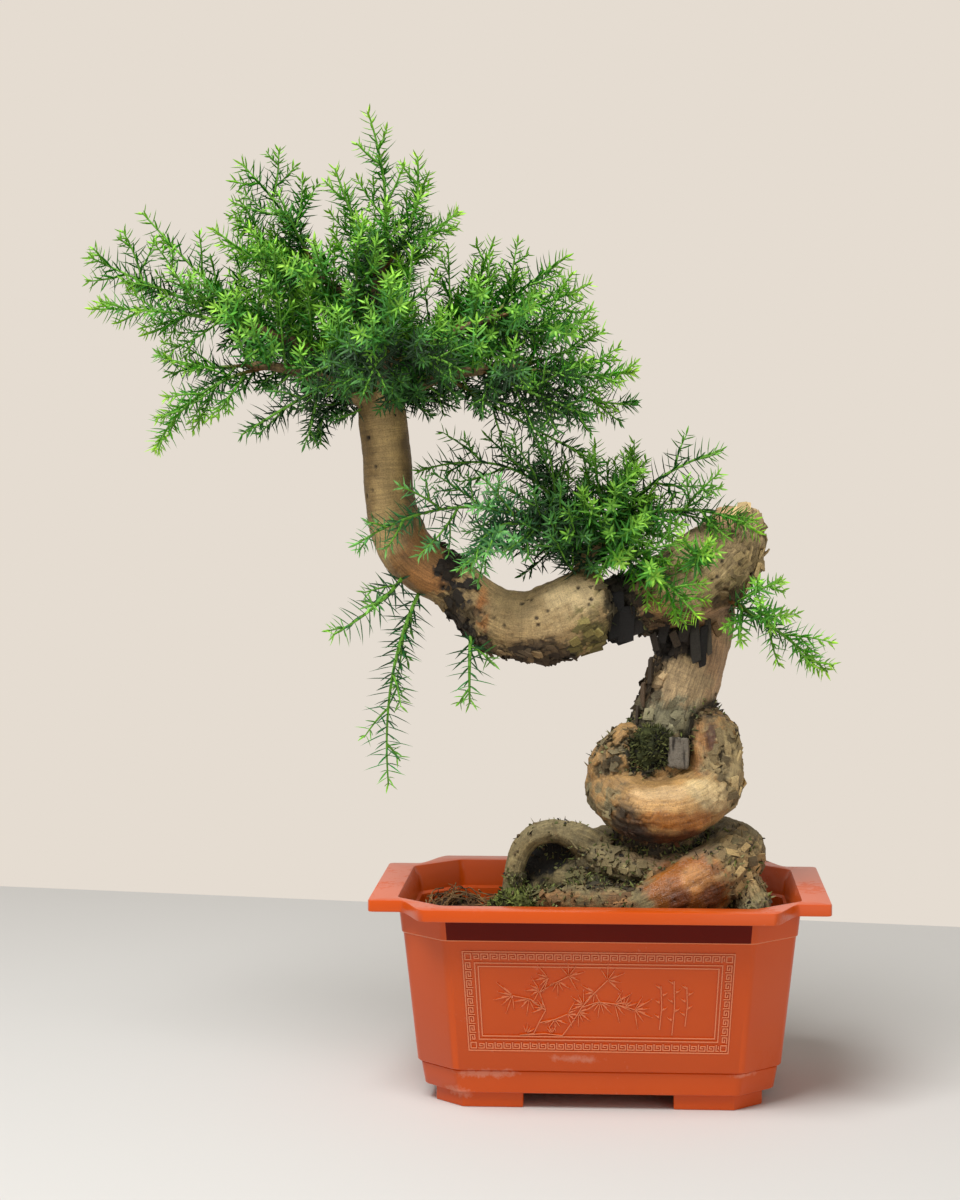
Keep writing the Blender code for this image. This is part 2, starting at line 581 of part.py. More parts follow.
def place_on_floor(parts):
    """Hangs every part on one empty, which centres the overall box on the origin."""
    bpy.context.view_layer.update()
    graph = bpy.context.evaluated_depsgraph_get()
    corners = [
        obj.matrix_world @ vert.co
        for obj in parts.objects
        for vert in obj.evaluated_get(graph).data.vertices
    ]
    low = [min(corner[axis] for corner in corners) for axis in range(3)]
    high = [max(corner[axis] for corner in corners) for axis in range(3)]
    root = bpy.data.objects.new("bonsai", None)
    parts.objects.link(root)
    root.location = (-(low[0] + high[0]) / 2, -(low[1] + high[1]) / 2, -low[2])
    for obj in bpy.data.objects:
        if obj is not root:
            obj.parent = root


def main():
    for obj in list(bpy.data.objects):
        bpy.data.objects.remove(obj)
    parts = bpy.data.collections.new("bonsai tree in a pot")
    cutters = bpy.data.collections.new("cutters")
    for collection in (parts, cutters):
        bpy.context.scene.collection.children.link(collection)
    make_pot(parts, cutters)
    soil = make_soil(parts)
    clear_of_wood(soil, cutters)
    wood = make_wood(parts, cutters)
    make_shoots(wood, parts)
    make_moss(soil, parts, cutters)
    make_rootlets(soil, parts, cutters)
    place_on_floor(parts)


main()
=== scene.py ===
import json
import math
import random

import bmesh
import bpy
import numpy as np
from mathutils import Matrix, Vector
from mathutils.bvhtree import BVHTree

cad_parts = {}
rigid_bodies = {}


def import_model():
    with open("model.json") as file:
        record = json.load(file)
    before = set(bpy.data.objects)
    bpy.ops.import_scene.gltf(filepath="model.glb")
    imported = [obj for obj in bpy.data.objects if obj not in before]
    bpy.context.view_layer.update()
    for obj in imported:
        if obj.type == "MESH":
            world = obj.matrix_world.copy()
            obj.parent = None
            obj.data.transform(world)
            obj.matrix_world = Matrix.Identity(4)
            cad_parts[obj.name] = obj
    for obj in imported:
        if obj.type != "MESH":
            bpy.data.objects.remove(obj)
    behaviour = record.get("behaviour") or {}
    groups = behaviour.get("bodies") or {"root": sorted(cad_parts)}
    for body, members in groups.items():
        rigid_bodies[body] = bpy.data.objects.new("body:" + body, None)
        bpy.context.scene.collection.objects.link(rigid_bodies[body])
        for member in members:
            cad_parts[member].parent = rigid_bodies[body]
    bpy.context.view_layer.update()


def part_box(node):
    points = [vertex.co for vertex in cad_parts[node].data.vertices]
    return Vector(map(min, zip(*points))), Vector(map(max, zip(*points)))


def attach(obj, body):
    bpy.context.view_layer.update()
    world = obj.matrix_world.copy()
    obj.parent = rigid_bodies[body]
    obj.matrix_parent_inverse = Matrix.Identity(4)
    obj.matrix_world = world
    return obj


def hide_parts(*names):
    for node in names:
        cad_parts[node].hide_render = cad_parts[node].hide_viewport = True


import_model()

mm = 0.001
potLow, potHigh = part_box("pot")
# Pieces are worked out in millimetres about the middle of the pot, on the plane its feet stand on
home = Vector(((potLow.x + potHigh.x) / 2, (potLow.y + potHigh.y) / 2, potLow.z))
toRow = Matrix.Translation(home) @ Matrix.Scale(mm, 4)


# ---- camera, lights and floor

view = {
    "eye": (18.07, -1436.2, 357.8),  # mm from the middle of the pot
    "pitch": -3.41,  # degrees, down
    "yaw": 3.42,
    "lens": 77.17,
    "sensor": 36.0,
}
studio = {
    "wall": "#E5DCD1",
    "floor": "#CECDCA",
    "floorBack": 530,  # mm behind the pot, where the table ends and the backdrop starts
    "floorTurn": -10,  # degrees
    "ambient": 0.38,
}


def rgb(code):  # an sRGB hex code as linear colour
    parts = [int(code[i:i + 2], 16) / 255 for i in (1, 3, 5)]
    return (*(p / 12.92 if p <= 0.04045 else ((p + 0.055) / 1.055) ** 2.4 for p in parts), 1)


def paint(code):  # the same without alpha, for working out tints
    return np.array(rgb(code)[:3])


def grey(value):
    return (value, value, value, 1)


def addNode(material, kind, inputs=None, stops=None, **settings):
    tree = material.node_tree
    node = tree.nodes.new("ShaderNode" + kind)
    for key, value in settings.items():
        setattr(node, key, value)
    for socket, value in (inputs or {}).items():
        if isinstance(value, bpy.types.NodeSocket):
            tree.links.new(value, node.inputs[socket])
        else:
            node.inputs[socket].default_value = value
    if stops:
        elements = node.color_ramp.elements
        while len(elements) < len(stops):
            elements.new(1)
        for element, (place, colour) in zip(elements, stops):
            element.position, element.color = place, colour
    return node


def newMaterial(name, **inputs):
    material = bpy.data.materials.new(name)
    material.use_nodes = True
    shader = material.node_tree.nodes["Principled BSDF"]
    for socket, value in inputs.items():
        shader.inputs[socket.replace("_", " ")].default_value = value
    return material, shader


def plug(material, value, socket):
    material.node_tree.links.new(value, socket)


def mixed(material, share, first, second, blend="MIX"):  # the colour socket of a mix of two colours
    node = addNode(material, "Mix", {0: share, 6: first, 7: second}, data_type="RGBA", blend_type=blend)
    return node.outputs[2]


def objectPlace(material):
    return addNode(material, "TexCoord").outputs["Object"]


def noise(material, place, scale, detail, roughness=0.5):
    settings = {"Vector": place, "Scale": scale, "Detail": detail, "Roughness": roughness}
    return addNode(material, "TexNoise", settings).outputs["Fac"]


def ramp(material, value, *stops):
    return addNode(material, "ValToRGB", {"Fac": value}, stops=stops).outputs["Color"]


def bumped(material, shader, height, strength, distance):
    bump = addNode(material, "Bump", {"Height": height, "Strength": strength, "Distance": distance})
    plug(material, bump.outputs[0], shader.inputs["Normal"])


def tinted(name, tintName, scale, detail, roughness, stops, depth=0.0, **look):  # each vertex's own tint, mottled
    material, shader = newMaterial(name, **look)
    own = addNode(material, "Attribute", attribute_name=tintName).outputs["Color"]
    mottle = noise(material, objectPlace(material), scale, detail, roughness)
    tone = ramp(material, mottle, *stops)
    plug(material, mixed(material, 1.0, own, tone, "MULTIPLY"), shader.inputs["Base Color"])
    if depth:
        bumped(material, shader, mottle, 0.8, depth)
    return material


scene = bpy.context.scene
scene.view_settings.view_transform = "Standard"
eye = bpy.data.objects.new("camera", bpy.data.cameras.new("camera"))
scene.collection.objects.link(eye)
eye.location = toRow @ Vector(view["eye"])
eye.rotation_euler = (math.radians(90 + view["pitch"]), 0, math.radians(view["yaw"]))
eye.data.lens, eye.data.sensor_width = view["lens"], view["sensor"]
scene.camera = eye

bpy.ops.object.select_all(action="DESELECT")
floorSize = 5000
bpy.ops.mesh.primitive_plane_add(size=floorSize * mm)
floor = bpy.context.object
floor.name = "floor"
turn = Matrix.Rotation(math.radians(studio["floorTurn"]), 4, "Z")
floor.data.transform(Matrix.Translation(Vector((home.x, home.y + studio["floorBack"] * mm, home.z)))
                     @ turn @ Matrix.Translation(Vector((0, -floorSize * mm / 2, 0))))
paper, paperShader = newMaterial("matt white table top", Roughness=0.75)
paperShader.inputs["Base Color"].default_value = rgb(studio["floor"])
floor.data.materials.append(paper)

world = bpy.data.worlds.new("studio")
scene.world = world
world.use_nodes = True
backdrop = world.node_tree.nodes["Background"]
backdrop.inputs["Color"].default_value = rgb(studio["wall"])
# The camera and reflections see the backdrop at full strength; the bonsai is lit by only a share of it
rays = addNode(world, "LightPath").outputs
seen = addNode(world, "Math", {0: rays["Is Camera Ray"], 1: rays["Is Glossy Ray"]}, operation="MAXIMUM")
share = addNode(world, "MapRange", {"Value": seen.outputs[0], "To Min": studio["ambient"], "To Max": 1.0})
plug(world, share.outputs[0], backdrop.inputs["Strength"])


def softbox(name, place, size, power, colour="#FFFFFF"):
    lamp = bpy.data.objects.new(name, bpy.data.lights.new(name, "AREA"))
    scene.collection.objects.link(lamp)
    lamp.location = toRow @ Vector(place)
    aim = toRow @ Vector((0, 0, 260)) - lamp.location
    lamp.rotation_euler = aim.to_track_quat("-Z", "Y").to_euler()
    lamp.data.shape, lamp.data.size, lamp.data.size_y = "RECTANGLE", size[0] * mm, size[1] * mm
    lamp.data.energy, lamp.data.color = power, rgb(colour)[:3]


softbox("key softbox", (-520, -760, 1750), (1000, 1000), 42)
softbox("fill softbox", (1100, -1300, 500), (1400, 1400), 6)
print("stage: camera, lights and floor")


# ---- making and placing pieces

def clearSelection():
    if bpy.context.mode != "OBJECT":
        bpy.ops.object.mode_set(mode="OBJECT")
    bpy.ops.object.select_all(action="DESELECT")


def only(piece):
    clearSelection()
    piece.select_set(True)
    bpy.context.view_layer.objects.active = piece


def editAll(piece):
    only(piece)
    bpy.ops.object.mode_set(mode="EDIT")
    bpy.ops.mesh.select_all(action="SELECT")


def turnOutward(piece):
    editAll(piece)
    bpy.ops.mesh.normals_make_consistent(inside=False)
    bpy.ops.object.mode_set(mode="OBJECT")


def dress(piece, *materials):
    piece.data.materials.clear()
    for material in materials:
        piece.data.materials.append(material)


def applyModifier(piece, kind, **settings):
    only(piece)
    modifier = piece.modifiers.new(kind.title(), kind)
    for key, value in settings.items():
        setattr(modifier, key, value)
    bpy.ops.object.modifier_apply(modifier=modifier.name)


def joined(pieces, name):
    clearSelection()
    for piece in pieces:
        piece.select_set(True)
    bpy.context.view_layer.objects.active = pieces[0]
    if len(pieces) > 1:
        bpy.ops.object.join()
    pieces[0].name = pieces[0].data.name = name
    return pieces[0]


def settle(piece, nodes, angle=35):  # from millimetres about the pot to the row frame, riding on the object
    only(piece)
    piece.data.transform(toRow)
    bpy.ops.object.shade_smooth_by_angle(angle=math.radians(angle))
    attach(piece, "root")
    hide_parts(*nodes)
    return piece


def meshPiece(name, points, faces):
    mesh = bpy.data.meshes.new(name)
    mesh.from_pydata([tuple(p) for p in points], [], faces)
    piece = bpy.data.objects.new(name, mesh)
    scene.collection.objects.link(piece)
    return piece


def repeated(faces, count, copies):  # the faces of so many copies laid one after the other, each with count vertices
    return [[index + n * count for index in face] for n in range(copies) for face in faces]


def tube(name, paths, resolution):  # poly paths with a round bevel and a radius at each point, made a mesh
    clearSelection()
    bpy.ops.curve.primitive_nurbs_path_add()
    curve = bpy.context.object.data
    curve.splines.clear()
    for path in paths:
        spline = curve.splines.new("POLY")
        spline.points.add(len(path) - 1)
        for point, (x, y, z, radius) in zip(spline.points, path):
            point.co, point.radius = (x, y, z, 1), radius
    curve.bevel_depth, curve.bevel_resolution, curve.use_fill_caps = 1, resolution, True
    bpy.ops.object.convert(target="MESH")
    bpy.context.object.name = name
    return bpy.context.object


def verts(piece):
    places = np.empty(len(piece.data.vertices) * 3, np.float32)
    piece.data.vertices.foreach_get("co", places)
    return places.reshape(-1, 3).astype(float)


def normals(piece):
    found = np.empty(len(piece.data.vertices) * 3, np.float32)
    piece.data.vertices.foreach_get("normal", found)
    return found.reshape(-1, 3).astype(float)


def moveVerts(piece, places):
    piece.data.vertices.foreach_set("co", places.astype(np.float32).ravel())
    piece.data.update()


def keepColour(piece, name, values):  # one linear colour for each vertex
    if values.shape[1] == 3:
        values = np.concatenate([values, np.ones((len(values), 1))], 1)
    layer = piece.data.color_attributes.new(name, "FLOAT_COLOR", "POINT")
    layer.data.foreach_set("color", values.astype(np.float32).ravel())


def keepVector(piece, name, values):
    layer = piece.data.attributes.new(name, "FLOAT_VECTOR", "POINT")
    layer.data.foreach_set("vector", values.astype(np.float32).ravel())


# ---- noise for shaping

def scramble(cells, seed):  # a repeatable number from 0 to 1 for each whole-number cell
    x, y, z = (cells[..., i].astype(np.int64) for i in range(3))
    h = (x * 73856093) ^ (y * 19349663) ^ (z * 83492791) ^ (seed * 2654435761)
    h = (h ^ (h >> 13)) * 1274126177 & 0x7FFFFFFF
    h = (h ^ (h >> 16)) * 668265263 & 0x7FFFFFFF
    return (h ^ (h >> 15)) % 100003 / 100003


def ripple(places, size, seed=0, octaves=3):  # smooth noise from -1 to 1 with bumps about size across
    total, weight, spread = 0, 0, 1
    for octave in range(octaves):
        at = places / (size / 2 ** octave) + 100 * octave
        cell = np.floor(at).astype(np.int64)
        part = at - cell
        part = part * part * (3 - 2 * part)
        value = 0
        for corner in np.ndindex(2, 2, 2):
            share = np.prod(np.where(np.array(corner), part, 1 - part), axis=-1)
            value = value + share * scramble(cell + np.array(corner), seed + octave)
        total, weight = total + (2 * value - 1) / spread, weight + 1 / spread
        spread *= 1.8
    return total / weight * 1.6


def cells(places, size, seed=0):  # distance to the nearest and the next seed, in sizes, and a random value of the cell
    at = places / size
    base = np.floor(at).astype(np.int64)
    best = np.full((len(at), 2), 9.0)
    tag = np.zeros(len(at))
    for step in np.ndindex(3, 3, 3):
        cell = base + np.array(step) - 1
        seedAt = cell + np.stack([scramble(cell, seed + 11 * k) for k in (1, 2, 3)], -1)
        gap = np.linalg.norm(at - seedAt, axis=1)
        closer = gap < best[:, 0]
        best[:, 1] = np.where(closer, best[:, 0], np.minimum(best[:, 1], gap))
        best[:, 0] = np.where(closer, gap, best[:, 0])
        tag = np.where(closer, scramble(cell, seed + 77), tag)
    return best[:, 0], best[:, 1], tag


def ease(value, low, high):  # 0 below low, 1 above high, smooth between
    share = np.clip((value - low) / (high - low), 0, 1)
    return share * share * (3 - 2 * share)


def blend(first, second, share):
    return first + (second - first) * np.asarray(share)[..., None]


# ---- pot: one moulded piece of terracotta polypropylene

pot = {
    "rimTop": 113.0, "rimHalf": (125.0, 92.0), "earHalf": 63.0, "shoulder": 108.0, "longEdge": 92.0,
    "lip": 6.4, "lipWall": 2.2, "plate": 2.6,
    "mouth": (109.5, 77.0, 25.5),  # half width, half depth, corner cut
    "top": (106.8, 75.1, 24.2), "bottom": (99.3, 67.6, 21.7), "bandProud": 0.8,
    "plinthTop": (97.4, 65.8, 20.9), "plinthBottom": (95.4, 63.8, 20.1),
    "bandZ": 93.7, "bodyZ": 22.7, "plinthZ": 8.5, "wall": 2.6, "floor": 4.0,
    "ledgeZ": 98.0, "ledge": 1.2, "edge": 0.6,
    "footOuter": 89.0, "footDepth": 60.7, "footLength": 48.3, "footSide": 32.7, "footCut": 15.6, "footWall": 12.0,
    "drainX": 45.0, "drainRadius": 6.0,
}
cornerPoints = 12  # of each quarter's outline


def cutCorner(section, grow=0.0, rounding=3.0):  # a rectangle with cut corners, each corner slightly rounded
    halfWidth, halfDepth, cut = section[0] + grow, section[1] + grow, section[2] + grow * 0.586
    start, end = Vector((halfWidth, halfDepth - cut)), Vector((halfWidth - cut, halfDepth))
    along = (end - start).normalized()
    quarter = []
    for corner, before, after in ((start, Vector((0, 1)), along), (end, along, Vector((-1, 0)))):
        for step in range(cornerPoints // 2):
            t = step / (cornerPoints // 2 - 1)
            a, b = corner - before * rounding, corner + after * rounding
            quarter.append(a.lerp(corner, t).lerp(corner.lerp(b, t), t))
    return quarter


def flangeEdge(inset):  # an ear, its shoulder and the S-curve to the long straight edge
    ear, side, edge = pot["rimHalf"][0] - inset, pot["earHalf"] - inset, pot["rimHalf"][1] - inset
    quarter = [Vector((ear, side - 2.5)), Vector((ear - 0.7, side - 0.7)), Vector((ear - 2.5, side))]
    for step in range(cornerPoints - 3):
        t = step / (cornerPoints - 4)
        x = pot["shoulder"] + (pot["longEdge"] - pot["shoulder"]) * t
        quarter.append(Vector((x, side + (edge - side) * (0.5 - 0.5 * math.cos(math.pi * t)))))
    return quarter


def wholeOutline(quarter):  # the quarter mirrored into all four, anticlockwise from the right-hand end
    right = [(p.x, -p.y) for p in reversed(quarter)] + [(p.x, p.y) for p in quarter]
    return right + [(-x, -y) for x, y in right]


def bodyAt(z):
    t = (z - pot["bodyZ"]) / (pot["bandZ"] - pot["bodyZ"])
    return tuple(a + (b - a) * t for a, b in zip(pot["bottom"], pot["top"]))


def raised(name, rings):  # a disc with the first outline, extruded up through all the others
    clearSelection()
    bpy.ops.mesh.primitive_circle_add(vertices=len(rings[0][1]), radius=1, fill_type="NGON")
    piece = bpy.context.object
    piece.name = name
    for vert, (x, y) in zip(piece.data.vertices, rings[0][1]):
        vert.co = (x, y, rings[0][0])
    bpy.ops.object.mode_set(mode="EDIT")
    bpy.ops.mesh.select_mode(type="FACE")
    bpy.ops.mesh.select_all(action="SELECT")
    for (_, last), (z, outline) in zip(rings, rings[1:]):
        bpy.ops.mesh.extrude_region_move()
        bm = bmesh.from_edit_mesh(piece.data)
        for vert in [vert for vert in bm.verts if vert.select]:
            gaps = [(vert.co.x - x) ** 2 + (vert.co.y - y) ** 2 for x, y in last]
            vert.co = (*outline[gaps.index(min(gaps))], z)
        bmesh.update_edit_mesh(piece.data)
    turnOutward(piece)
    return piece


def footOutline(sideX, sideY):  # an L that follows the cut corner
    outer, inner = pot["footOuter"], pot["footOuter"] - pot["footWall"]
    depth, back, cut = pot["footDepth"], pot["footDepth"] - pot["footWall"], pot["footCut"]
    end = depth - pot["footSide"]
    outline = [(outer - pot["footLength"], back), (inner - cut / 2, back), (inner, back - cut / 2), (inner, end),
               (outer, end), (outer, depth - cut), (outer - cut, depth), (outer - pot["footLength"], depth)]
    outline = [(x * sideX, y * sideY) for x, y in outline]
    return outline if sideX * sideY > 0 else outline[::-1]


def combine(piece, other, operation):
    applyModifier(piece, "BOOLEAN", object=other, operation=operation, solver="EXACT")
    bpy.data.objects.remove(other)


def makePot():
    edge, wall, ledge = pot["edge"], pot["wall"], pot["ledge"]
    top, lip, band = pot["rimTop"], pot["rimTop"] - pot["lip"], pot["bandZ"]
    body = lambda z, grow=0.0: (z, wholeOutline(cutCorner(bodyAt(z), grow)))
    at = lambda z, section, grow=0.0: (z, wholeOutline(cutCorner(section, grow)))
    flange = lambda z, inset: (z, wholeOutline(flangeEdge(inset)))
    proud, under = pot["bandProud"], top - pot["plate"]
    rings = [
        at(pot["plinthZ"], pot["plinthBottom"], -edge), at(pot["plinthZ"] + edge, pot["plinthBottom"]),
        at(pot["bodyZ"] - 2, pot["plinthTop"]), at(pot["bodyZ"] - 1.2, pot["plinthTop"], -edge),
        at(pot["bodyZ"] - 0.9, pot["bottom"], -edge), at(pot["bodyZ"] - 0.2, pot["bottom"]),
        body(band - 0.5), body(band - 0.3, proud * 0.4), body(band + 0.3, proud), body(under - 1, proud), body(under,
                proud + 1),
        flange(under, pot["lipWall"]), flange(lip + 0.3, pot["lipWall"]), flange(lip, pot["lipWall"] - 0.3),
        flange(lip, 0.3), flange(lip + 0.3, 0), flange(top - edge, 0), flange(top - 0.15, 0.2), flange(top, edge),
        at(top, pot["mouth"], edge), at(top - 0.15, pot["mouth"], 0.2), at(top - edge, pot["mouth"]),
        body(lip, ledge - wall), body(pot["ledgeZ"] + 0.2, ledge - wall), body(pot["ledgeZ"], ledge - wall - 0.2),
        body(pot["ledgeZ"] - ledge, -wall), body(pot["bodyZ"], -wall),
        at(pot["plinthZ"] + pot["floor"] + 1, pot["plinthBottom"], -wall), at(pot["plinthZ"] + pot["floor"],
                pot["plinthBottom"], -wall - 1),
    ]
    shell = raised("pot", rings)
    for sideX, sideY in ((1, 1), (-1, 1), (-1, -1), (1, -1)):
        outline = footOutline(sideX, sideY)
        foot = raised("foot", [(0, outline), (pot["plinthZ"] + 1.5, outline)])
        applyModifier(foot, "BEVEL", width=0.7, segments=2, limit_method="ANGLE", angle_limit=math.radians(30))
        combine(shell, foot, "UNION")
    for side in (-1, 1):
        clearSelection()
        bpy.ops.mesh.primitive_cylinder_add(vertices=24, radius=pot["drainRadius"], depth=16,
                                            location=(side * pot["drainX"], 0, pot["plinthZ"]))
        combine(shell, bpy.context.object, "DIFFERENCE")
    return shell


# Raised pattern on the two long walls: a frame of fine lines, a key border and a spray of leaves
panel = {
    "top": 88.3, "bottom": 32.9, "halfWidth": 73.2, "narrowing": 0.047,  # it narrows to the foot as the wall does
    "cell": 0.62, "lift": 0.55, "sunk": 0.3,
    "key": ("XXXXXXX.", "X.....X.", "X.XXX.X.", "X.X...X.", "X.XXXXX.", "X......."),
}


def onWall(u, v, lift):  # a place on the long wall: u across, v its height, lift off the plastic
    slope = (pot["top"][1] - pot["bottom"][1]) / (pot["bandZ"] - pot["bodyZ"])
    lean = math.atan(slope)
    out = bodyAt(v)[1] + lift * math.cos(lean)
    share = 1 - panel["narrowing"] * (panel["top"] - v) / (panel["top"] - panel["bottom"])
    return (u * share, -out, v - lift * math.sin(lean))


def keyCell(column, row, columns, rows):  # whether this cell of the frame is raised
    near = min(column, columns - 1 - column, row, rows - 1 - row)
    if near == 0 or near in (10, 13):
        return True
    if not 2 <= near <= 7:
        return False
    corner = min(column, columns - 1 - column) <= 8 and min(row, rows - 1 - row) <= 8
    if corner:  # a small square in each corner
        inX, inY = min(column, columns - 1 - column), min(row, rows - 1 - row)
        return (inX in (2, 7) and 2 <= inY <= 7) or (inY in (2, 7) and 2 <= inX <= 7)
    if min(row, rows - 1 - row) == near:
        return panel["key"][near - 2][column % 8] == "X"
    return panel["key"][near - 2][row % 8] == "X"


def makeFrameLines():  # a sheet of small squares, cut down to the lines and extruded off the wall
    columns = round(2 * panel["halfWidth"] / panel["cell"])
    rows = round((panel["top"] - panel["bottom"]) / panel["cell"])
    clearSelection()
    bpy.ops.mesh.primitive_grid_add(x_subdivisions=columns, y_subdivisions=rows, size=2)
    lines = bpy.context.object
    bpy.ops.object.mode_set(mode="EDIT")
    bpy.ops.mesh.select_mode(type="FACE")
    bm = bmesh.from_edit_mesh(lines.data)
    for face in bm.faces:
        middle = face.calc_center_median()
        column, row = int((middle.x + 1) / 2 * columns), int((middle.y + 1) / 2 * rows)
        face.select = not keyCell(column, row, columns, rows)
    bmesh.update_edit_mesh(lines.data)
    bpy.ops.mesh.delete(type="FACE")
    bpy.ops.mesh.select_all(action="SELECT")
    bpy.ops.mesh.extrude_region_move(TRANSFORM_OT_translate={"value": (0, 0, 1)})
    bpy.ops.object.mode_set(mode="OBJECT")
    for vert in lines.data.vertices:
        v = panel["bottom"] + (vert.co.y + 1) / 2 * (panel["top"] - panel["bottom"])
        vert.co = onWall(vert.co.x * panel["halfWidth"], v, panel["lift"] if vert.co.z > 0.5 else -panel["sunk"])
    turnOutward(lines)
    return lines


# Stems and leaves of the spray: points across and up the wall in mm, then each leaf's foot, length and direction
spray = {
    "stems": [
        ((-44, 42), (-36, 43), (-33, 49), (-29, 56), (-32, 66), (-27, 74)),
        ((-20, 42), (-14, 50), (-9, 58), (-2, 66), (5, 73)),
        ((-29, 56), (-37, 62), (-47, 64)), ((-9, 58), (0, 61), (9, 60), (20, 57)),
        ((-33, 49), (-24, 51), (-17, 54)), ((-44, 42), (-30, 43), (-20, 42)), ((-32, 66), (-24, 71), (-16, 75)),
    ],
    "fans": [  # foot, how many leaves, first and last direction in degrees, length
        ((-47, 64), 6, 140, 275, 12), ((-38, 62), 5, 190, 330, 10), ((-27, 74), 5, 130, 250, 10), ((-32, 67), 5, 120,
                240, 9),
        ((-16, 75), 6, -60, 130, 10), ((-22, 72), 5, 210, 330, 9), ((5, 73), 6, -40, 120, 11), ((-2, 66), 5, 150, 300,
                9),
        ((9, 60), 6, -75, 60, 12), ((1, 61), 6, 210, 340, 10), ((-17, 54), 5, -70, 60, 9), ((20, 57), 6, -80, 60, 12),
        ((-24, 51), 5, 200, 340, 8), ((-11, 55), 5, -90, 20, 9), ((-30, 57), 5, 100, 200, 8), ((-8, 59), 5, 90, 200, 9),
        ((14, 58), 5, 20, 110, 9), ((-40, 43), 4, 30, 110, 6), ((-26, 43), 4, 60, 130, 6),
    ],
    "reeds": [((34, 46), 24), ((41, 43), 30), ((48, 48), 22)],  # foot and height of the thin reeds at the right
    "leafWidth": 1.7, "stemWidth": 0.9, "lift": 0.75,
}


def makeLeaf(foot, length, direction):  # a raised lance-shaped leaf: a disc stretched, extruded and ridged
    clearSelection()
    bpy.ops.mesh.primitive_circle_add(vertices=10, radius=1, fill_type="NGON")
    leaf = bpy.context.object
    bpy.ops.object.mode_set(mode="EDIT")
    bpy.ops.mesh.extrude_region_move(TRANSFORM_OT_translate={"value": (0, 0, 1)})
    bpy.ops.transform.resize(value=(0.7, 0.25, 1))
    bpy.ops.object.mode_set(mode="OBJECT")
    turn = math.radians(direction)
    for vert in leaf.data.vertices:
        along = (vert.co.x + 1) / 2
        across = vert.co.y * spray["leafWidth"] / 2 * (1.25 - 0.6 * along)
        u = foot[0] + math.cos(turn) * along * length - math.sin(turn) * across
        v = foot[1] + math.sin(turn) * along * length + math.cos(turn) * across
        vert.co = onWall(u, v, spray["lift"] if vert.co.z > 0.5 else -panel["sunk"])
    return leaf


def makeStem(points):  # a thin raised line through the points
    path = [Vector(p) for p in points]
    sides, faces = [], []
    for i, p in enumerate(path):
        along = (path[min(i + 1, len(path) - 1)] - path[max(i - 1, 0)]).normalized()
        across = Vector((-along.y, along.x)) * spray["stemWidth"] / 2
        for shift, lift in ((across, -panel["sunk"]), (-across, -panel["sunk"]), (-across * 0.5, spray["lift"]),
                            (across * 0.5, spray["lift"])):
            sides.append(onWall(p.x + shift.x, p.y + shift.y, lift))
    for i in range(len(path) - 1):
        for k in range(4):
            a, b = 4 * i + k, 4 * i + (k + 1) % 4
            faces.append((a, b, b + 4, a + 4))
    faces += [(3, 2, 1, 0), tuple(4 * (len(path) - 1) + k for k in range(4))]
    return meshPiece("stem", sides, faces)


def makeSpray():
    parts = [makeStem(points) for points in spray["stems"]]
    for foot, count, first, last, length in spray["fans"]:
        for i in range(count):
            turn = first + (last - first) * i / (count - 1)
            parts.append(makeLeaf(foot, length * (1 - 0.25 * (i % 2)), turn))
    for (u, v), height in spray["reeds"]:
        parts.append(makeStem(((u, v), (u + 0.8, v + height / 2), (u, v + height))))
        for i in range(5):
            parts.append(makeLeaf((u + 0.4, v + height * (0.25 + 0.17 * i)), 4.5, 35 if i % 2 else 145))
    whole = joined(parts, "spray")
    turnOutward(whole)
    return whole


# Terracotta polypropylene, injection moulded: a satin brick orange with a faint cloudiness, pale where it is rubbed,
# with one pale spot on the flange top as painted sheen
rubsAndSheen = [  # where handling and the shelf have rubbed it, and one painted sheen: place and half size in mm
    ((-14, -68, 29), (26, 12, 4)), ((-62, -66, 20), (30, 14, 4)), ((78, -64, 20), (22, 14, 3)), ((-78, -60, 8),
            (16, 12, 5)),
    # the last spot below, on the flange top, is a painted sheen, not wear
    ((20, 67, 24), (30, 12, 4)), ((-60, 64, 18), (26, 14, 4)), ((-70, 90, 110), (36, 6, 4)),
]


def plastic(name, colour, pale, sheen, shine=0.4):
    material, shader = newMaterial(name, Roughness=0.3, IOR=1.46, Specular_IOR_Level=shine)
    place = objectPlace(material)
    cloud = noise(material, place, 22.0, 3.0)  # clouds about 45 mm across
    base = mixed(material, cloud, rgb(colour), rgb(sheen))
    scuff = noise(material, place, 260.0, 5.0, 0.7)  # scuffs of 2 to 4 mm
    where = noise(material, place, 30.0, 2.0)
    # pale marks: scuffs and the spots above, one of which is a painted sheen
    rubbed = addNode(material, "Math", {0: scuff, 1: where}, operation="MULTIPLY").outputs[0]
    for centre, half in rubsAndSheen:
        middle = toRow @ Vector(centre)
        scale = [1 / (size * mm) for size in half]
        shift = [-c * k for c, k in zip(middle, scale)]
        spot = addNode(material, "Mapping", {"Vector": place, "Scale": scale, "Location": shift}).outputs[0]
        fade = addNode(material, "TexGradient", {"Vector": spot}, gradient_type="SPHERICAL").outputs["Fac"]
        rubbed = addNode(material, "Math", {0: fade, 1: 0.32, 2: rubbed}, operation="MULTIPLY_ADD").outputs[0]
    marks = ramp(material, rubbed, (0.38, grey(0)), (0.52, grey(0.34)))
    plug(material, mixed(material, marks, base, rgb(pale)), shader.inputs["Base Color"])
    rough = addNode(material, "MapRange", {"Value": rubbed, "From Min": 0.3, "From Max": 0.45, "To Min": 0.28,
                                           "To Max": 0.6})
    plug(material, rough.outputs[0], shader.inputs["Roughness"])
    bumped(material, shader, noise(material, place, 900.0, 2.0), 0.08, 0.0003)  # mould texture of about 1 mm
    return material


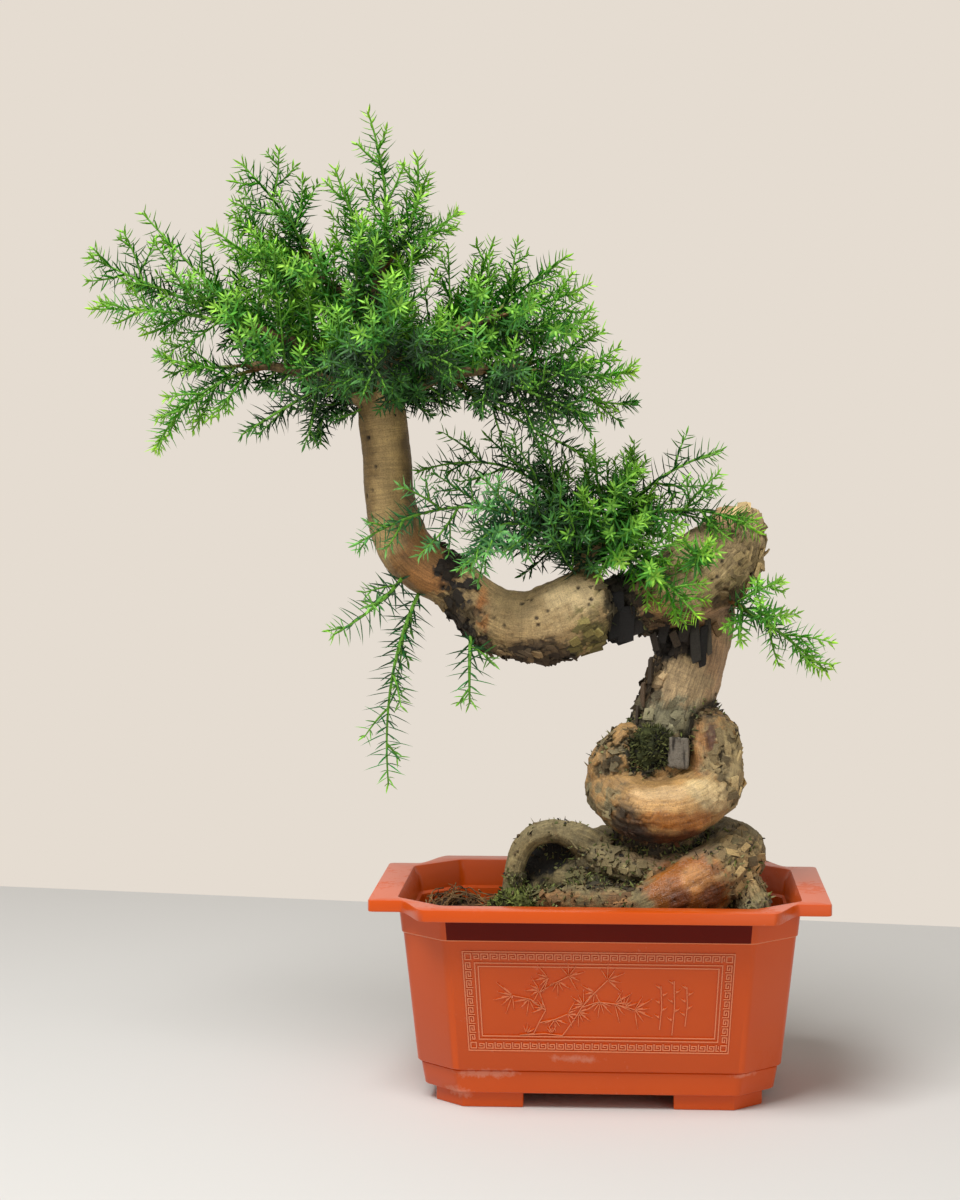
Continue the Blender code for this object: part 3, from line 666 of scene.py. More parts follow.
smoothPlastic = plastic("terracotta polypropylene, moulded satin", "#C64807", "#E0AE98", "#CE530E")
# Rubbed pale on the raised lines; on the ledge's edge the same pale is a painted highlight
rubbedAndHighlightPlastic = plastic("terracotta polypropylene, raised and rubbed pale", "#D4764A", "#EBBFAA", "#DE8860")
# Deep maroon is painted shade: it stands in for the rim's shadow, which the soft lamps leave too pale
shadedPlastic = plastic("terracotta polypropylene, painted shade under the rim", "#5A0C02", "#7A2A18", "#681404", 0.12)

shell = makePot()
dress(shell, smoothPlastic, rubbedAndHighlightPlastic, shadedPlastic)
for face in shell.data.polygons:
    x, y, z = face.center
    onBody = abs(x) < pot["mouth"][0] + 1.5 and abs(y) < pot["mouth"][1] + 1.5  # not on the flange
    outside = onBody and face.normal.xy.dot(face.center.xy) > 0
    square = min(abs(face.normal.x), abs(face.normal.y)) < 0.12  # not a cut corner
    if outside and abs(z - pot["bandZ"] - 0.2) < 0.5:
        face.material_index = 1  # the ledge's edge, made pale as a painted highlight
    elif outside and square and pot["bandZ"] < z < pot["rimTop"] - 2:
        # the band under the rim takes the maroon painted shade
        face.material_index = 2
front = joined([makeFrameLines(), makeSpray()], "relief")
dress(front, smoothPlastic, rubbedAndHighlightPlastic)
for face in front.data.polygons:
    face.material_index = 1 if face.normal.y < -0.55 else 0
only(front)
bpy.ops.object.duplicate()
back = bpy.context.object
back.data.transform(Matrix.Rotation(math.pi, 4, "Z"))
settle(joined([shell, front, back], "pot_shell"), ["pot"])
print("stage: pot")


# ---- wood

# Each limb is a run of (x, y, z, radius)
limbs = {
    "stem": [
        (-123, 0, 470, 2.6), (-124, 0, 445, 4.5), (-123, 0, 420, 7), (-123, 0, 396, 11),
        (-123, 0, 378, 13.6), (-120, -1, 356, 13.8), (-118, -2, 328, 14.2), (-111, -3, 304, 15.2),
        (-98, -4, 290, 15), (-83, -4, 282, 14.6), (-71, -5, 272, 15.6), (-59, -6, 262, 18.6),
        (-41, -8, 258, 20.5), (-21, -8, 262, 22.3), (-7, -7, 268, 22.3), (2, -5, 270, 18.5),
    ],
    "neck": [(-2, -5, 270, 13), (6, -2, 270, 15.5), (12, 0, 269, 16.5), (20, 0, 271, 16.5), (28, -2, 273, 16)],
    "knob": [(19, 0, 271, 17.5), (24, -1, 272, 19.5), (38, -4, 277, 22.5), (56, -6, 287, 24.5), (68, -3, 299, 22),
             (74, 0, 312, 17), (75, 2, 323, 11)],
    "trunk": [
        (58, 2, 283, 17), (56, 5, 264, 18), (53, 6, 247, 18.8), (48, 6, 231, 20),
        (42, 6, 214, 21.5), (37, 6, 197, 22.5), (34, 4, 175, 22), (34, 2, 150, 24),
    ],
    "foot": [(34, 4, 168, 21), (34, 2, 150, 24), (34, 0, 124, 27), (34, 0, 98, 28), (34, 0, 78, 22)],
    "upperCoil": [
        (38, 8, 204, 10), (27, 18, 198, 12), (15, 16, 188, 13), (8, 3, 176, 14.5), (9, -12, 166, 16),
        (20, -24, 159, 16.8), (34, -28, 158, 17), (49, -24, 161, 17), (60, -11, 169, 16.5),
        (63, 4, 181, 15.5), (57, 16, 193, 14.5), (46, 15, 201, 13), (38, 6, 208, 10),
    ],
    "hollowKnob": [(1, -8, 174, 10), (6, -12, 184, 13.5), (13, -12, 194, 12.5), (22, -8, 200, 8)],
    "hollowFill": [(22, -10, 176, 11), (31, -14, 180, 13), (40, -8, 184, 13)],
    "rightLobe": [(60, -14, 164, 15), (63, -10, 180, 14.5), (60, -5, 198, 13), (55, 0, 210, 9)],
    "rootMat": [
        (-54, 2, 86, 7), (-42, 8, 102, 11), (-26, 8, 114, 14), (-8, 2, 112, 17),
        (12, -8, 108, 18), (34, -14, 108, 18), (56, -10, 112, 15),
    ],
    "archBack": [(-48, 10, 92, 9), (-39, 12, 114, 13), (-27, 13, 127, 14), (-8, 11, 128, 14)],
    "matFront": [(-58, -12, 84, 5), (-42, -18, 94, 8), (-22, -24, 98, 9), (0, -30, 100, 9), (24, -34, 98, 9)],
    "lowerCoil": [
        (14, -40, 103, 10), (30, -40, 110, 13.5), (47, -37, 117, 16.5), (62, -27, 124, 17.5),
        (72, -10, 129, 17), (74, 8, 131, 16.2), (66, 25, 132, 15.2), (48, 35, 132, 15),
        (26, 37, 130, 15), (7, 29, 129, 14.5), (-4, 14, 129, 13), (-7, -2, 129, 10.5),
    ],
    "ledgeRoot": [(-8, -2, 129, 9), (8, -16, 127, 9.5), (28, -25, 126, 9.5), (50, -26, 127, 9)],
    "frontRoot": [(-62, -10, 86, 4), (-46, -16, 103, 6), (-22, -29, 109, 7), (6, -38, 110, 7.2), (30, -42, 110, 8)],
    "archRoot": [
        (-53, -10, 86, 5), (-49, -8, 114, 5.8), (-45, -6, 131, 6.6), (-37, -6, 140, 7),
        (-25, -6, 143, 7.4), (-12, -6, 139, 8.4), (4, -4, 131, 9),
    ],
    "leftRoot": [(-4, 8, 122, 11), (-26, 4, 112, 9), (-46, 2, 98, 7), (-58, 0, 82, 5)],
    "leftBackRoot": [(-2, 22, 124, 11), (-20, 36, 109, 8), (-34, 46, 90, 5.5), (-40, 50, 76, 4)],
    "rightBackRoot": [(62, 28, 126, 11), (74, 42, 108, 8), (80, 50, 90, 5.5), (83, 53, 76, 4)],
    "rightRoot": [(74, -14, 122, 12), (84, -28, 106, 8.5), (90, -37, 88, 5.5), (93, -40, 76, 4)],
    "leftUpperLimb": [(-126, -2, 388, 5.5), (-150, -6, 407, 4), (-180, -9, 419, 3), (-204, -11, 429, 2.2)],
    "leftLowerLimb": [(-126, -4, 380, 5.5), (-150, -12, 393, 4), (-175, -18, 401, 3), (-196, -21, 403, 2.2)],
    "leftBackLimb": [(-126, 3, 385, 5), (-150, 24, 407, 3.6), (-174, 42, 422, 2.4)],
    "topLeftLimb": [(-124, 0, 420, 4.5), (-138, 0, 436, 3.4), (-160, 0, 456, 2.2)],
    "rightUpperLimb": [(-121, 0, 392, 5.5), (-98, -2, 412, 4), (-74, -4, 424, 3), (-56, -5, 430, 2.2)],
    "rightMiddleLimb": [(-120, -3, 382, 5.5), (-92, -12, 396, 4), (-65, -18, 400, 3), (-44, -20, 401, 2.2)],
    "rightBackLimb": [(-120, 4, 385, 5), (-96, 26, 404, 3.6), (-73, 45, 416, 2.4)],
    "frontLimb": [(-122, -4, 382, 5), (-118, -28, 398, 3.6), (-114, -44, 406, 2.4)],
    "backLimb": [(-123, 4, 384, 5), (-126, 30, 402, 3.6), (-128, 50, 413, 2.4)],
    "middleBranch": [(-8, -7, 272, 9), (-9, -6, 290, 6), (-10, -6, 303, 3.5)],
    "middleLeftTwig": [(-10, -6, 296, 4), (-24, -9, 310, 2.8), (-35, -10, 317, 2.2)],
    "middleRightTwig": [(-9, -6, 297, 4), (6, -8, 311, 2.8), (21, -10, 319, 2.2)],
}


def smoothRun(stations, step):  # points about a step apart on a smooth curve through the stations, radius included
    points = [Vector(station) for station in stations]
    padded = [2 * points[0] - points[1], *points, 2 * points[-1] - points[-2]]
    run = []
    for a, b, c, d in zip(padded, padded[1:], padded[2:], padded[3:]):
        count = max(1, round((c.xyz - b.xyz).length / step))
        for i in range(count):
            t = i / count
            run.append(0.5 * (2 * b + (c - a) * t + (2 * a - 5 * b + 4 * c - d) * t ** 2
                              + (3 * b - a - 3 * c + d) * t ** 3))
    return [*run, points[-1]]


def spine(names):  # samples along limbs: place, radius, direction, side, length from the limb's start
    rows = []
    for name in names:
        run = smoothRun(limbs[name], 3)
        length, side = 0, Vector((0.3, 1, 0.2))
        for i, point in enumerate(run):
            along = (run[min(i + 1, len(run) - 1)].xyz - run[max(i - 1, 0)].xyz).normalized()
            side = (side - along * side.dot(along)).normalized()
            length += (point.xyz - run[i - 1].xyz).length if i else 0
            rows.append((*point.xyz, point.w, *along, *side, length))
    return np.array(rows)


def nearest(places, line):  # which sample of the spine each place belongs to, and how far outside its bark it is
    found, gap = [], []
    for start in range(0, len(places), 8000):
        part = places[start:start + 8000]
        away = np.linalg.norm(part[:, None] - line[None, :, :3], axis=2) - line[None, :, 3]
        found.append(away.argmin(1))
        gap.append(away.min(1))
    return np.concatenate(found), np.concatenate(gap)


def grainOf(places, line):  # places as if the limb were straight: two across it, the third along it
    row = line[nearest(places, line)[0]]
    local = places - row[:, :3]
    along, side = row[:, 4:7], row[:, 7:10]
    other = np.cross(along, side)
    rise = (local * along).sum(1)
    return np.stack([(local * side).sum(1), (local * other).sum(1), row[:, 10] + rise], 1)


def brushed(places, base, brushes):  # the base finish with each brush laid over it, in order
    finish = {key: np.full(len(places), value, float) for key, value in base.items() if key != "tint"}
    finish["tint"] = np.tile(paint(base["tint"]), (len(places), 1))
    ragged = 0.3 * ripple(places, 12, 5) + 0.16 * ripple(places, 3.5, 9)
    plates = cells(places + 2.5 * ripple(places, 4, 6)[:, None], 5.5, 8)[2] - 0.5
    for brush in brushes:
        away = np.linalg.norm((places - np.array(brush["at"])) / np.array(brush["size"]), axis=1)
        away += ragged + plates * (0.8 if brush.get("flake", 0) > 0.8 else 0.25)
        share = (1 - ease(away, 1 - brush.get("edge", 0.3), 1 + brush.get("edge", 0.3))) * brush.get("share", 1)
        for key, value in brush.items():
            if key == "tint":
                finish["tint"] = blend(finish["tint"], paint(value), share)
            elif key in finish:
                finish[key] = finish[key] * (1 - share) + value * share
    return finish


def brush(at, size, tint, **finish):  # its middle and half size in mm, and what it gives the wood there
    return {"at": at, "size": size, "tint": tint, **finish}


# Finish of each piece of wood: lump, fibre, flake, pit and crack are depths in mm, gloss is from 0 to 1
bare = {"tint": "#A88D62", "lump": 0.9, "fibre": 0.25, "flake": 0.0, "pit": 0.3, "crack": 0.2, "gloss": 0.2,
        "streak": 1.0, "ring": 0.4, "moss": 0.0}
wood = {
    "wood_stem": {
        "limbs": ["stem", "middleBranch", "middleLeftTwig", "middleRightTwig", "leftUpperLimb", "leftLowerLimb",
                  "leftBackLimb",
                  "topLeftLimb", "rightUpperLimb", "rightMiddleLimb", "rightBackLimb", "frontLimb", "backLimb"],
        "voxel": 0.95, "seed": 3, "flakes": 420, "crumbs": 60,
        "base": {**bare, "tint": "#AE9263"},
        "brushes": [
            brush((-125, 0, 440), (120, 90, 55), "#6B5334", fibre=0.3, lump=0.4, pit=0.1),
            brush((-119, -4, 345), (24, 34, 50), "#A98C58", lump=0.4, pit=0.06, fibre=0.1, crack=0.0, streak=0.2,
                  ring=0.75, gloss=0.35, edge=0.15),
            # a pale stripe down the front of the stem: painted highlight
            brush((-121, -14, 345), (7, 12, 44), "#B79A66", share=0.8, edge=0.6),
            brush((-134, -4, 342), (9, 22, 40), "#7C6339", pit=1.5, edge=0.5),
            # the stem's right edge darkened: painted shade
            brush((-104, -6, 346), (7, 16, 44), "#6E5630", share=0.9, edge=0.4),
            brush((-98, -6, 294), (22, 28, 18), "#9C6F3E", fibre=0.7, lump=0.7, pit=0.2, gloss=0.35, streak=0.8,
                  ring=0.1),
            brush((-94, -20, 284), (13, 10, 8), "#B27A42", share=0.8),
            brush((-83, -4, 290), (9, 30, 11), "#2E2419", flake=1.6, lump=2.0, edge=0.2),
            brush((-79, -4, 276), (10, 30, 12), "#241C13", flake=2.0, lump=2.0, edge=0.2),
            brush((-74, -4, 260), (10, 30, 12), "#2A2117", flake=2.2, lump=1.8, edge=0.2),
            brush((-68, -4, 248), (10, 30, 9), "#382C1E", flake=2.2, lump=1.6, edge=0.2),
            brush((-65, -20, 268), (4.5, 12, 13), "#AC6C34", share=0.9),
            brush((-34, -8, 268), (34, 40, 15), "#AE9568", pit=1.0, lump=1.8, crack=0.3, streak=0.35),
            brush((-12, -22, 276), (18, 16, 12), "#C4AC7E", pit=1.1, lump=1.6, streak=0.3),
            brush((-30, -4, 240), (40, 34, 10), "#7A6547", flake=1.8, lump=1.8, crack=0.9, edge=0.6),
            brush((-28, -24, 246), (20, 14, 5), "#453626", flake=2.2, share=0.8, edge=0.6),
            brush((-22, -4, 238), (26, 26, 5), "#3A2E20", flake=2.2, edge=0.6),
            brush((-2, -18, 256), (13, 20, 16), "#7F7440", flake=1.2, lump=1.4),
            brush((6, -5, 268), (6, 30, 30), "#4A4028", flake=1.4, lump=1.6),
        ],
    },
    "wood_neck": {
        "limbs": ["neck"], "voxel": 0.9, "seed": 5, "flakes": 150, "crumbs": 60,
        # x, y, z, turn, lean and roll in degrees, then width, length and thickness
        # The slats are bark strips made near-black as painted shade of the deep gap between stem and knob
        "slats": [
            (8, -17, 265, 8, 4, 3, 10, 24, 2.5, "#070504"), (14, -17, 260, -6, 6, -5, 9, 19, 2.5, "#0A0705"),
            (19, -16, 262, 14, -4, 8, 7, 15, 2.5, "#140E09"), (12, -14, 254, 0, 10, 12, 9, 10, 2, "#070504"),
            (11, -8, 256, 20, 4, 0, 14, 13, 3, "#070504"), (5, -15, 257, -20, 8, 14, 7, 12, 2, "#0F0B07"),
            (10, 8, 257, 165, 6, 5, 10, 15, 3, "#070504"), (18, 10, 259, 190, 8, -6, 10, 13, 3, "#0A0705"),
        ],
        # The neck's near-black tint is painted shade of that gap too
        "base": {**bare, "tint": "#0B0806", "lump": 3.2, "fibre": 0.8, "flake": 2.4, "crack": 1.0, "pit": 0.0,
                 "gloss": 0.1},
    },
    "wood_trunk": {
        "limbs": ["knob", "trunk"], "voxel": 0.95, "seed": 7, "flakes": 420, "crumbs": 200,
        "slats": [
            (52, -17.5, 251, -4, -3, 4, 5.5, 23, 2, "#34302A"), (56.5, -17.5, 248, 4, 2, -3, 4, 22, 2, "#100D0A"),
            (59.5, -16.5, 253, 12, -2, 2, 3, 19, 2, "#4A4338"), (46, -17.5, 256, -12, 8, -14, 6, 11, 2, "#221A12"),
            (41, -16, 252, -20, 10, 18, 5, 9, 1.6, "#3A2E20"), (35, -15, 256, -30, 6, -22, 6, 13, 2, "#15100B"),
            (30, -13, 250, -40, 8, 10, 5, 10, 1.6, "#2A2117"), (64, -13, 257, 22, 6, 30, 4, 8, 1.4, "#7A6040"),
            (27.5, -12, 234, -60, 2, -8, 4, 15, 1.2, "#3A2E20"), (23.5, -9, 220, -66, 3, -10, 5, 14, 1.2, "#5B4833"),
            (20.5, -7, 208, -70, 4, -12, 4, 12, 1.2, "#3A2D1E"),
        ],
        "base": {**bare, "tint": "#B39A70", "lump": 1.4},
        "brushes": [
            brush((30, -4, 268), (20, 34, 22), "#A27E50", lump=1.6, flake=0.8, pit=0.4),
            brush((26, -4, 291), (20, 30, 8), "#1C1610", flake=2.0, lump=2.2),
            brush((20, -4, 262), (6, 30, 18), "#3B2C1B", flake=1.6),
            brush((56, -22, 286), (26, 16, 14), "#C2A878", lump=1.6, pit=0.9),
            brush((72, -6, 318), (13, 18, 10), "#B7926A", lump=0.8, pit=0.1),
            brush((82, -4, 294), (14, 30, 26), "#B0986A", lump=2.8, flake=1.6, pit=1.2, crack=0.8),
            brush((70, -18, 270), (14, 16, 10), "#6A5434", flake=1.4, lump=1.8),
            brush((46, -14, 259), (24, 20, 7), "#7C5F3A", flake=1.6),
            brush((34, -8, 248), (12, 24, 14), "#19130D", flake=2.6, lump=2.2),
            brush((52, -14, 249), (14, 10, 12), "#221A12", flake=1.4, fibre=1.2),
            brush((62, -8, 240), (10, 20, 30), "#B8946C", lump=0.4, pit=0.05, fibre=0.2, flake=0.0, gloss=0.35),
            brush((46, -16, 226), (18, 12, 16), "#B69C74", lump=0.6),
            brush((22, -2, 224), (9, 22, 24), "#57452F", flake=2.0, lump=1.2, fibre=1.0, crack=0.8),
            brush((34, -16, 205), (14, 12, 10), "#A58C64", lump=0.8),
            brush((42, -10, 206), (30, 30, 11), "#979070", flake=1.2, lump=1.8, crack=0.5),
            brush((38, 4, 190), (34, 34, 10), "#4F4A32", flake=1.2, lump=1.8),
        ],
    },
    "wood_upper_coil": {
        "limbs": ["upperCoil", "hollowKnob", "hollowFill", "rightLobe",
                  "foot"], "voxel": 0.95, "seed": 11, "flakes": 240, "crumbs": 1100, "gnarl": 1.8,
        "base": {**bare, "tint": "#A5804C", "lump": 1.4, "fibre": 0.5, "crack": 0.5, "gloss": 0.5, "streak": 0.7},
        "brushes": [
            brush((34, 0, 130), (34, 34, 20), "#3A3122", flake=1.0, lump=1.6, moss=0.4),
            brush((8, -8, 189), (16, 26, 17), "#75694C", lump=2.6, flake=1.2, moss=0.3, gloss=0.1, streak=0.5),
            brush((6, -14, 160), (12, 20, 14), "#857A58", lump=1.8, flake=0.9, gloss=0.1, streak=0.5),
            brush((28, -12, 186), (17, 16, 13), "#2C2A1A", lump=2.4, flake=0.9, gloss=0.0, moss=3, edge=0.2),
            brush((16, -38, 152), (10, 14, 12), "#4A3C28", flake=0.8, lump=1.2, gloss=0.2),
            brush((42, -38, 165), (24, 14, 10), "#BD9258", lump=0.9, fibre=0.3, pit=0.1, gloss=0.7, streak=0.5,
                  ring=0.1),
            brush((34, -42, 170), (16, 8, 4), "#D0AE7C", share=0.7),
            brush((42, -42, 155), (24, 12, 5), "#A46A2C", gloss=0.8, streak=0.6),
            brush((36, -34, 144), (30, 16, 6), "#5A3417", gloss=0.5),
            brush((22, -40, 144), (10, 12, 5), "#1E160E", gloss=0.2, edge=0.5),
            brush((55, -22, 192), (7, 12, 18), "#A97A48", lump=0.7, gloss=0.6),
            brush((61, -20, 196), (4, 10, 12), "#5F3A1E", crack=1.0, gloss=0.6),
            brush((70, -10, 178), (13, 24, 30), "#B09A6C", crack=1.8, flake=1.0, lump=1.8, gloss=0.25),
            brush((58, -32, 168), (12, 10, 8), "#C9AE7C", crack=1.0, flake=0.6),
            brush((54, 0, 212), (20, 20, 6), "#5A4C34", flake=1.2, moss=0.6),
        ],
    },
    "wood_base": {
        "limbs": ["lowerCoil", "rootMat", "archBack", "matFront", "ledgeRoot", "frontRoot", "archRoot", "leftRoot",
                  "leftBackRoot", "rightBackRoot", "rightRoot"],
        "voxel": 1.2, "seed": 13, "flakes": 320, "crumbs": 1500, "gnarl": 1.2,
        "base": {**bare, "tint": "#8B7C54", "lump": 1.3, "fibre": 0.5, "flake": 0.5, "crack": 0.4, "gloss": 0.15},
        "brushes": [
            brush((30, -20, 124), (54, 28, 14), "#7A6E4C", flake=1.0, lump=1.8, moss=1.2, streak=0.5),
            brush((34, -34, 136), (34, 10, 8), "#957B5A", flake=0.4),
            brush((-28, -6, 145), (28, 14, 9), "#8C7E58", lump=1.6, flake=0.7, streak=0.6, moss=0.3),
            brush((-28, 6, 126), (22, 14, 20), "#14110A", edge=0.2, streak=0.2, gloss=0.0, lump=2.2, moss=0.8),
            brush((-24, -22, 112), (44, 14, 9), "#5E5A34", flake=0.9, lump=2.0, moss=3, streak=0.4),
            brush((-16, -34, 108), (30, 8, 6), "#957046", flake=0.9, lump=1.8, moss=0.4),
            brush((-44, -20, 92), (12, 12, 8), "#17130D", edge=0.4),
            brush((-58, -12, 96), (12, 18, 12), "#6E5C3E", flake=1.2, moss=0.6),
            brush((14, -42, 108), (18, 10, 8), "#946C42", flake=0.8, moss=0.5),
            brush((14, -30, 116), (30, 12, 4), "#3A3420", moss=2.5),
            brush((50, -46, 118), (26, 20, 17), "#985A20", lump=1.0, gloss=1.0, fibre=0.25, flake=0.1, crack=0.3,
                  streak=0.45, ring=0.1, moss=0.0),
            # a pale patch on top of the copper root: painted highlight over its gloss
            brush((54, -50, 124), (9, 8, 7), "#C48A4A", gloss=1.0, share=0.7),
            brush((44, -54, 112), (6, 8, 6), "#5E2C12", gloss=0.95, share=0.8),
            brush((62, -50, 112), (7, 10, 8), "#7C4526", gloss=0.95, share=0.8),
            brush((78, -20, 124), (15, 24, 22), "#A38A5C", lump=1.6, flake=0.9, crack=0.9, gloss=0.25, moss=0.4),
            brush((84, -24, 98), (18, 26, 12), "#7C7250", flake=1.0, lump=1.8, moss=1.0),
            brush((10, 0, 86), (110, 90, 6), "#2A2218", share=0.8, moss=0.6),
        ],
    },
}


def stamp(piece):  # the shape of a small piece, for laying many copies of it
    shape, faces = verts(piece), [list(face.vertices) for face in piece.data.polygons]
    bpy.data.objects.remove(piece)
    return shape, faces


def makePlate():  # a bark flake: a cube with its corners pulled about
    clearSelection()
    bpy.ops.mesh.primitive_cube_add(size=1)
    plate = bpy.context.object
    pull = [(1.0, 0.8), (0.75, 1.1), (1.1, 0.95), (0.9, 0.75), (0.8, 1.0), (1.05, 0.9), (0.7, 1.1), (1.0, 1.05)]
    for vert in plate.data.vertices:
        vert.co.x, vert.co.y = vert.co.x * pull[vert.index][0], vert.co.y * pull[vert.index][1]
    return stamp(plate)


def makeCrumb():  # a grain of soil: a low ball pushed out of round
    clearSelection()
    bpy.ops.mesh.primitive_ico_sphere_add(subdivisions=1, radius=0.5)
    crumb = bpy.context.object
    for vert in crumb.data.vertices:
        vert.co *= 1 + 0.3 * math.sin(vert.index * 2.1)
    return stamp(crumb)


# an awl 1 unit long: a four-cornered ring extruded twice and drawn to a point, flat above and keeled below
def makeNeedle():
    clearSelection()
    bpy.ops.mesh.primitive_circle_add(vertices=4, radius=0.55, fill_type="NGON")
    needle = bpy.context.object
    bpy.ops.object.mode_set(mode="EDIT")
    bpy.ops.mesh.select_all(action="SELECT")
    for rise, grow in ((0.32, 1.8), (0.36, 0.72), (0.32, 0.05)):
        bpy.ops.mesh.extrude_region_move(TRANSFORM_OT_translate={"value": (0, 0, rise)})
        bpy.ops.transform.resize(value=(grow, grow, 1), center_override=(0, 0, 0))
    bpy.ops.mesh.merge(type="CENTER")
    turnOutward(needle)
    shape, faces = stamp(needle)
    shape[:, 1] = np.where(shape[:, 1] > 0, shape[:, 1] * 0.15, shape[:, 1] * 0.6)
    return shape, faces


def layCopies(name, form, spots, axes, sizes, tints):  # one mesh with a copy of the form at every spot
    shape, faces = form
    local = shape[None] * sizes[:, None]
    places = spots[:, None] + np.einsum("nkc,ncd->nkd", local, axes)
    piece = meshPiece(name, places.reshape(-1, 3), repeated(faces, len(shape), len(spots)))
    every = np.repeat(tints, len(shape), 0)
    keepColour(piece, "barkTint", every)
    keepVector(piece, "grain", places.reshape(-1, 3))
    keepColour(piece, "gloss", np.zeros((len(every), 4)))
    return piece


def unit(rows):
    return rows / np.maximum(np.linalg.norm(rows, axis=1, keepdims=True), 1e-9)


def tumbled(chance, count):  # three random axes for each copy
    return np.stack([unit(chance.normal(0, 1, (count, 3))) for _ in range(3)], 1)


def flakesOn(name, places, out, along, tint, finish, count, seed):  # lifted bark flakes where the bark peels
    chance = np.random.default_rng(seed)
    weight = np.clip(finish["flake"] - 0.7, 0, 2)
    if weight.sum() == 0:
        return None
    chosen = chance.choice(len(places), count, replace=False, p=weight / weight.sum())
    n, a = out[chosen], along[chosen]
    across = unit(np.cross(a, n))
    a = np.cross(n, across)
    tilt = chance.uniform(-0.1, 0.45, count)[:, None]
    up, flat = a * np.cos(tilt) + n * np.sin(tilt), n * np.cos(tilt) - a * np.sin(tilt)
    spin = chance.normal(0, 0.35, count)[:, None]
    x, y = across * np.cos(spin) + up * np.sin(spin), up * np.cos(spin) - across * np.sin(spin)
    sizes = np.stack([chance.uniform(2.5, 5.5, count), chance.uniform(4, 10, count), chance.uniform(0.5, 1.1, count)],
                     1)
    shade = chance.uniform(0.35, 1.5, count)[:, None]
    tints = np.clip(tint[chosen] * shade + paint("#2E2418") * 0.25, 0, 1)
    return layCopies(name + " flakes", plateForm, places[chosen], np.stack([x, y, flat], 1), sizes, tints)


def crumbsIn(name, places, out, gap, moss, count, seed):  # dirt, moss and bits caught where two limbs press together
    chance = np.random.default_rng(seed)
    weight = (np.where((gap > -1) & (gap < 5), 1.0, 0.0) + moss) * (out[:, 2] > -0.6)
    if weight.sum() < 50:
        return []
    weight /= weight.sum()
    chosen = chance.choice(len(places), count, p=weight)
    axes = tumbled(chance, count)
    sizes = chance.uniform(0.8, 2.8, (count, 3))
    shades = np.array([paint(code) for code in ("#3A2E1E", "#5C4A30", "#5E6334", "#7A6A48", "#8A8A5A", "#1E1810")])
    tints = shades[chance.integers(0, len(shades), count)]
    crumbs = layCopies(name + " crumbs", crumbForm, places[chosen] + out[chosen] * 0.3, axes, sizes, tints)
    chosen = chance.choice(len(places), count, p=weight)
    way = unit(out[chosen] + chance.normal(0, 0.7, (count, 3)))
    side = unit(np.cross(way, chance.normal(0, 1, (count, 3))))
    greens = np.array([paint(code) for code in ("#5E6A30", "#7A8442", "#3E4424", "#8C8A5C", "#2A2414", "#6A5838")])
    sizes = np.stack([np.full(count, 0.5), np.full(count, 0.5), chance.uniform(1.6, 5, count)], 1)
    tufts = layCopies(name + " moss", needleForm, places[chosen], np.stack([side, np.cross(way, side), way], 1),
                      sizes, greens[chance.integers(0, len(greens), count)])
    return [crumbs, tufts]


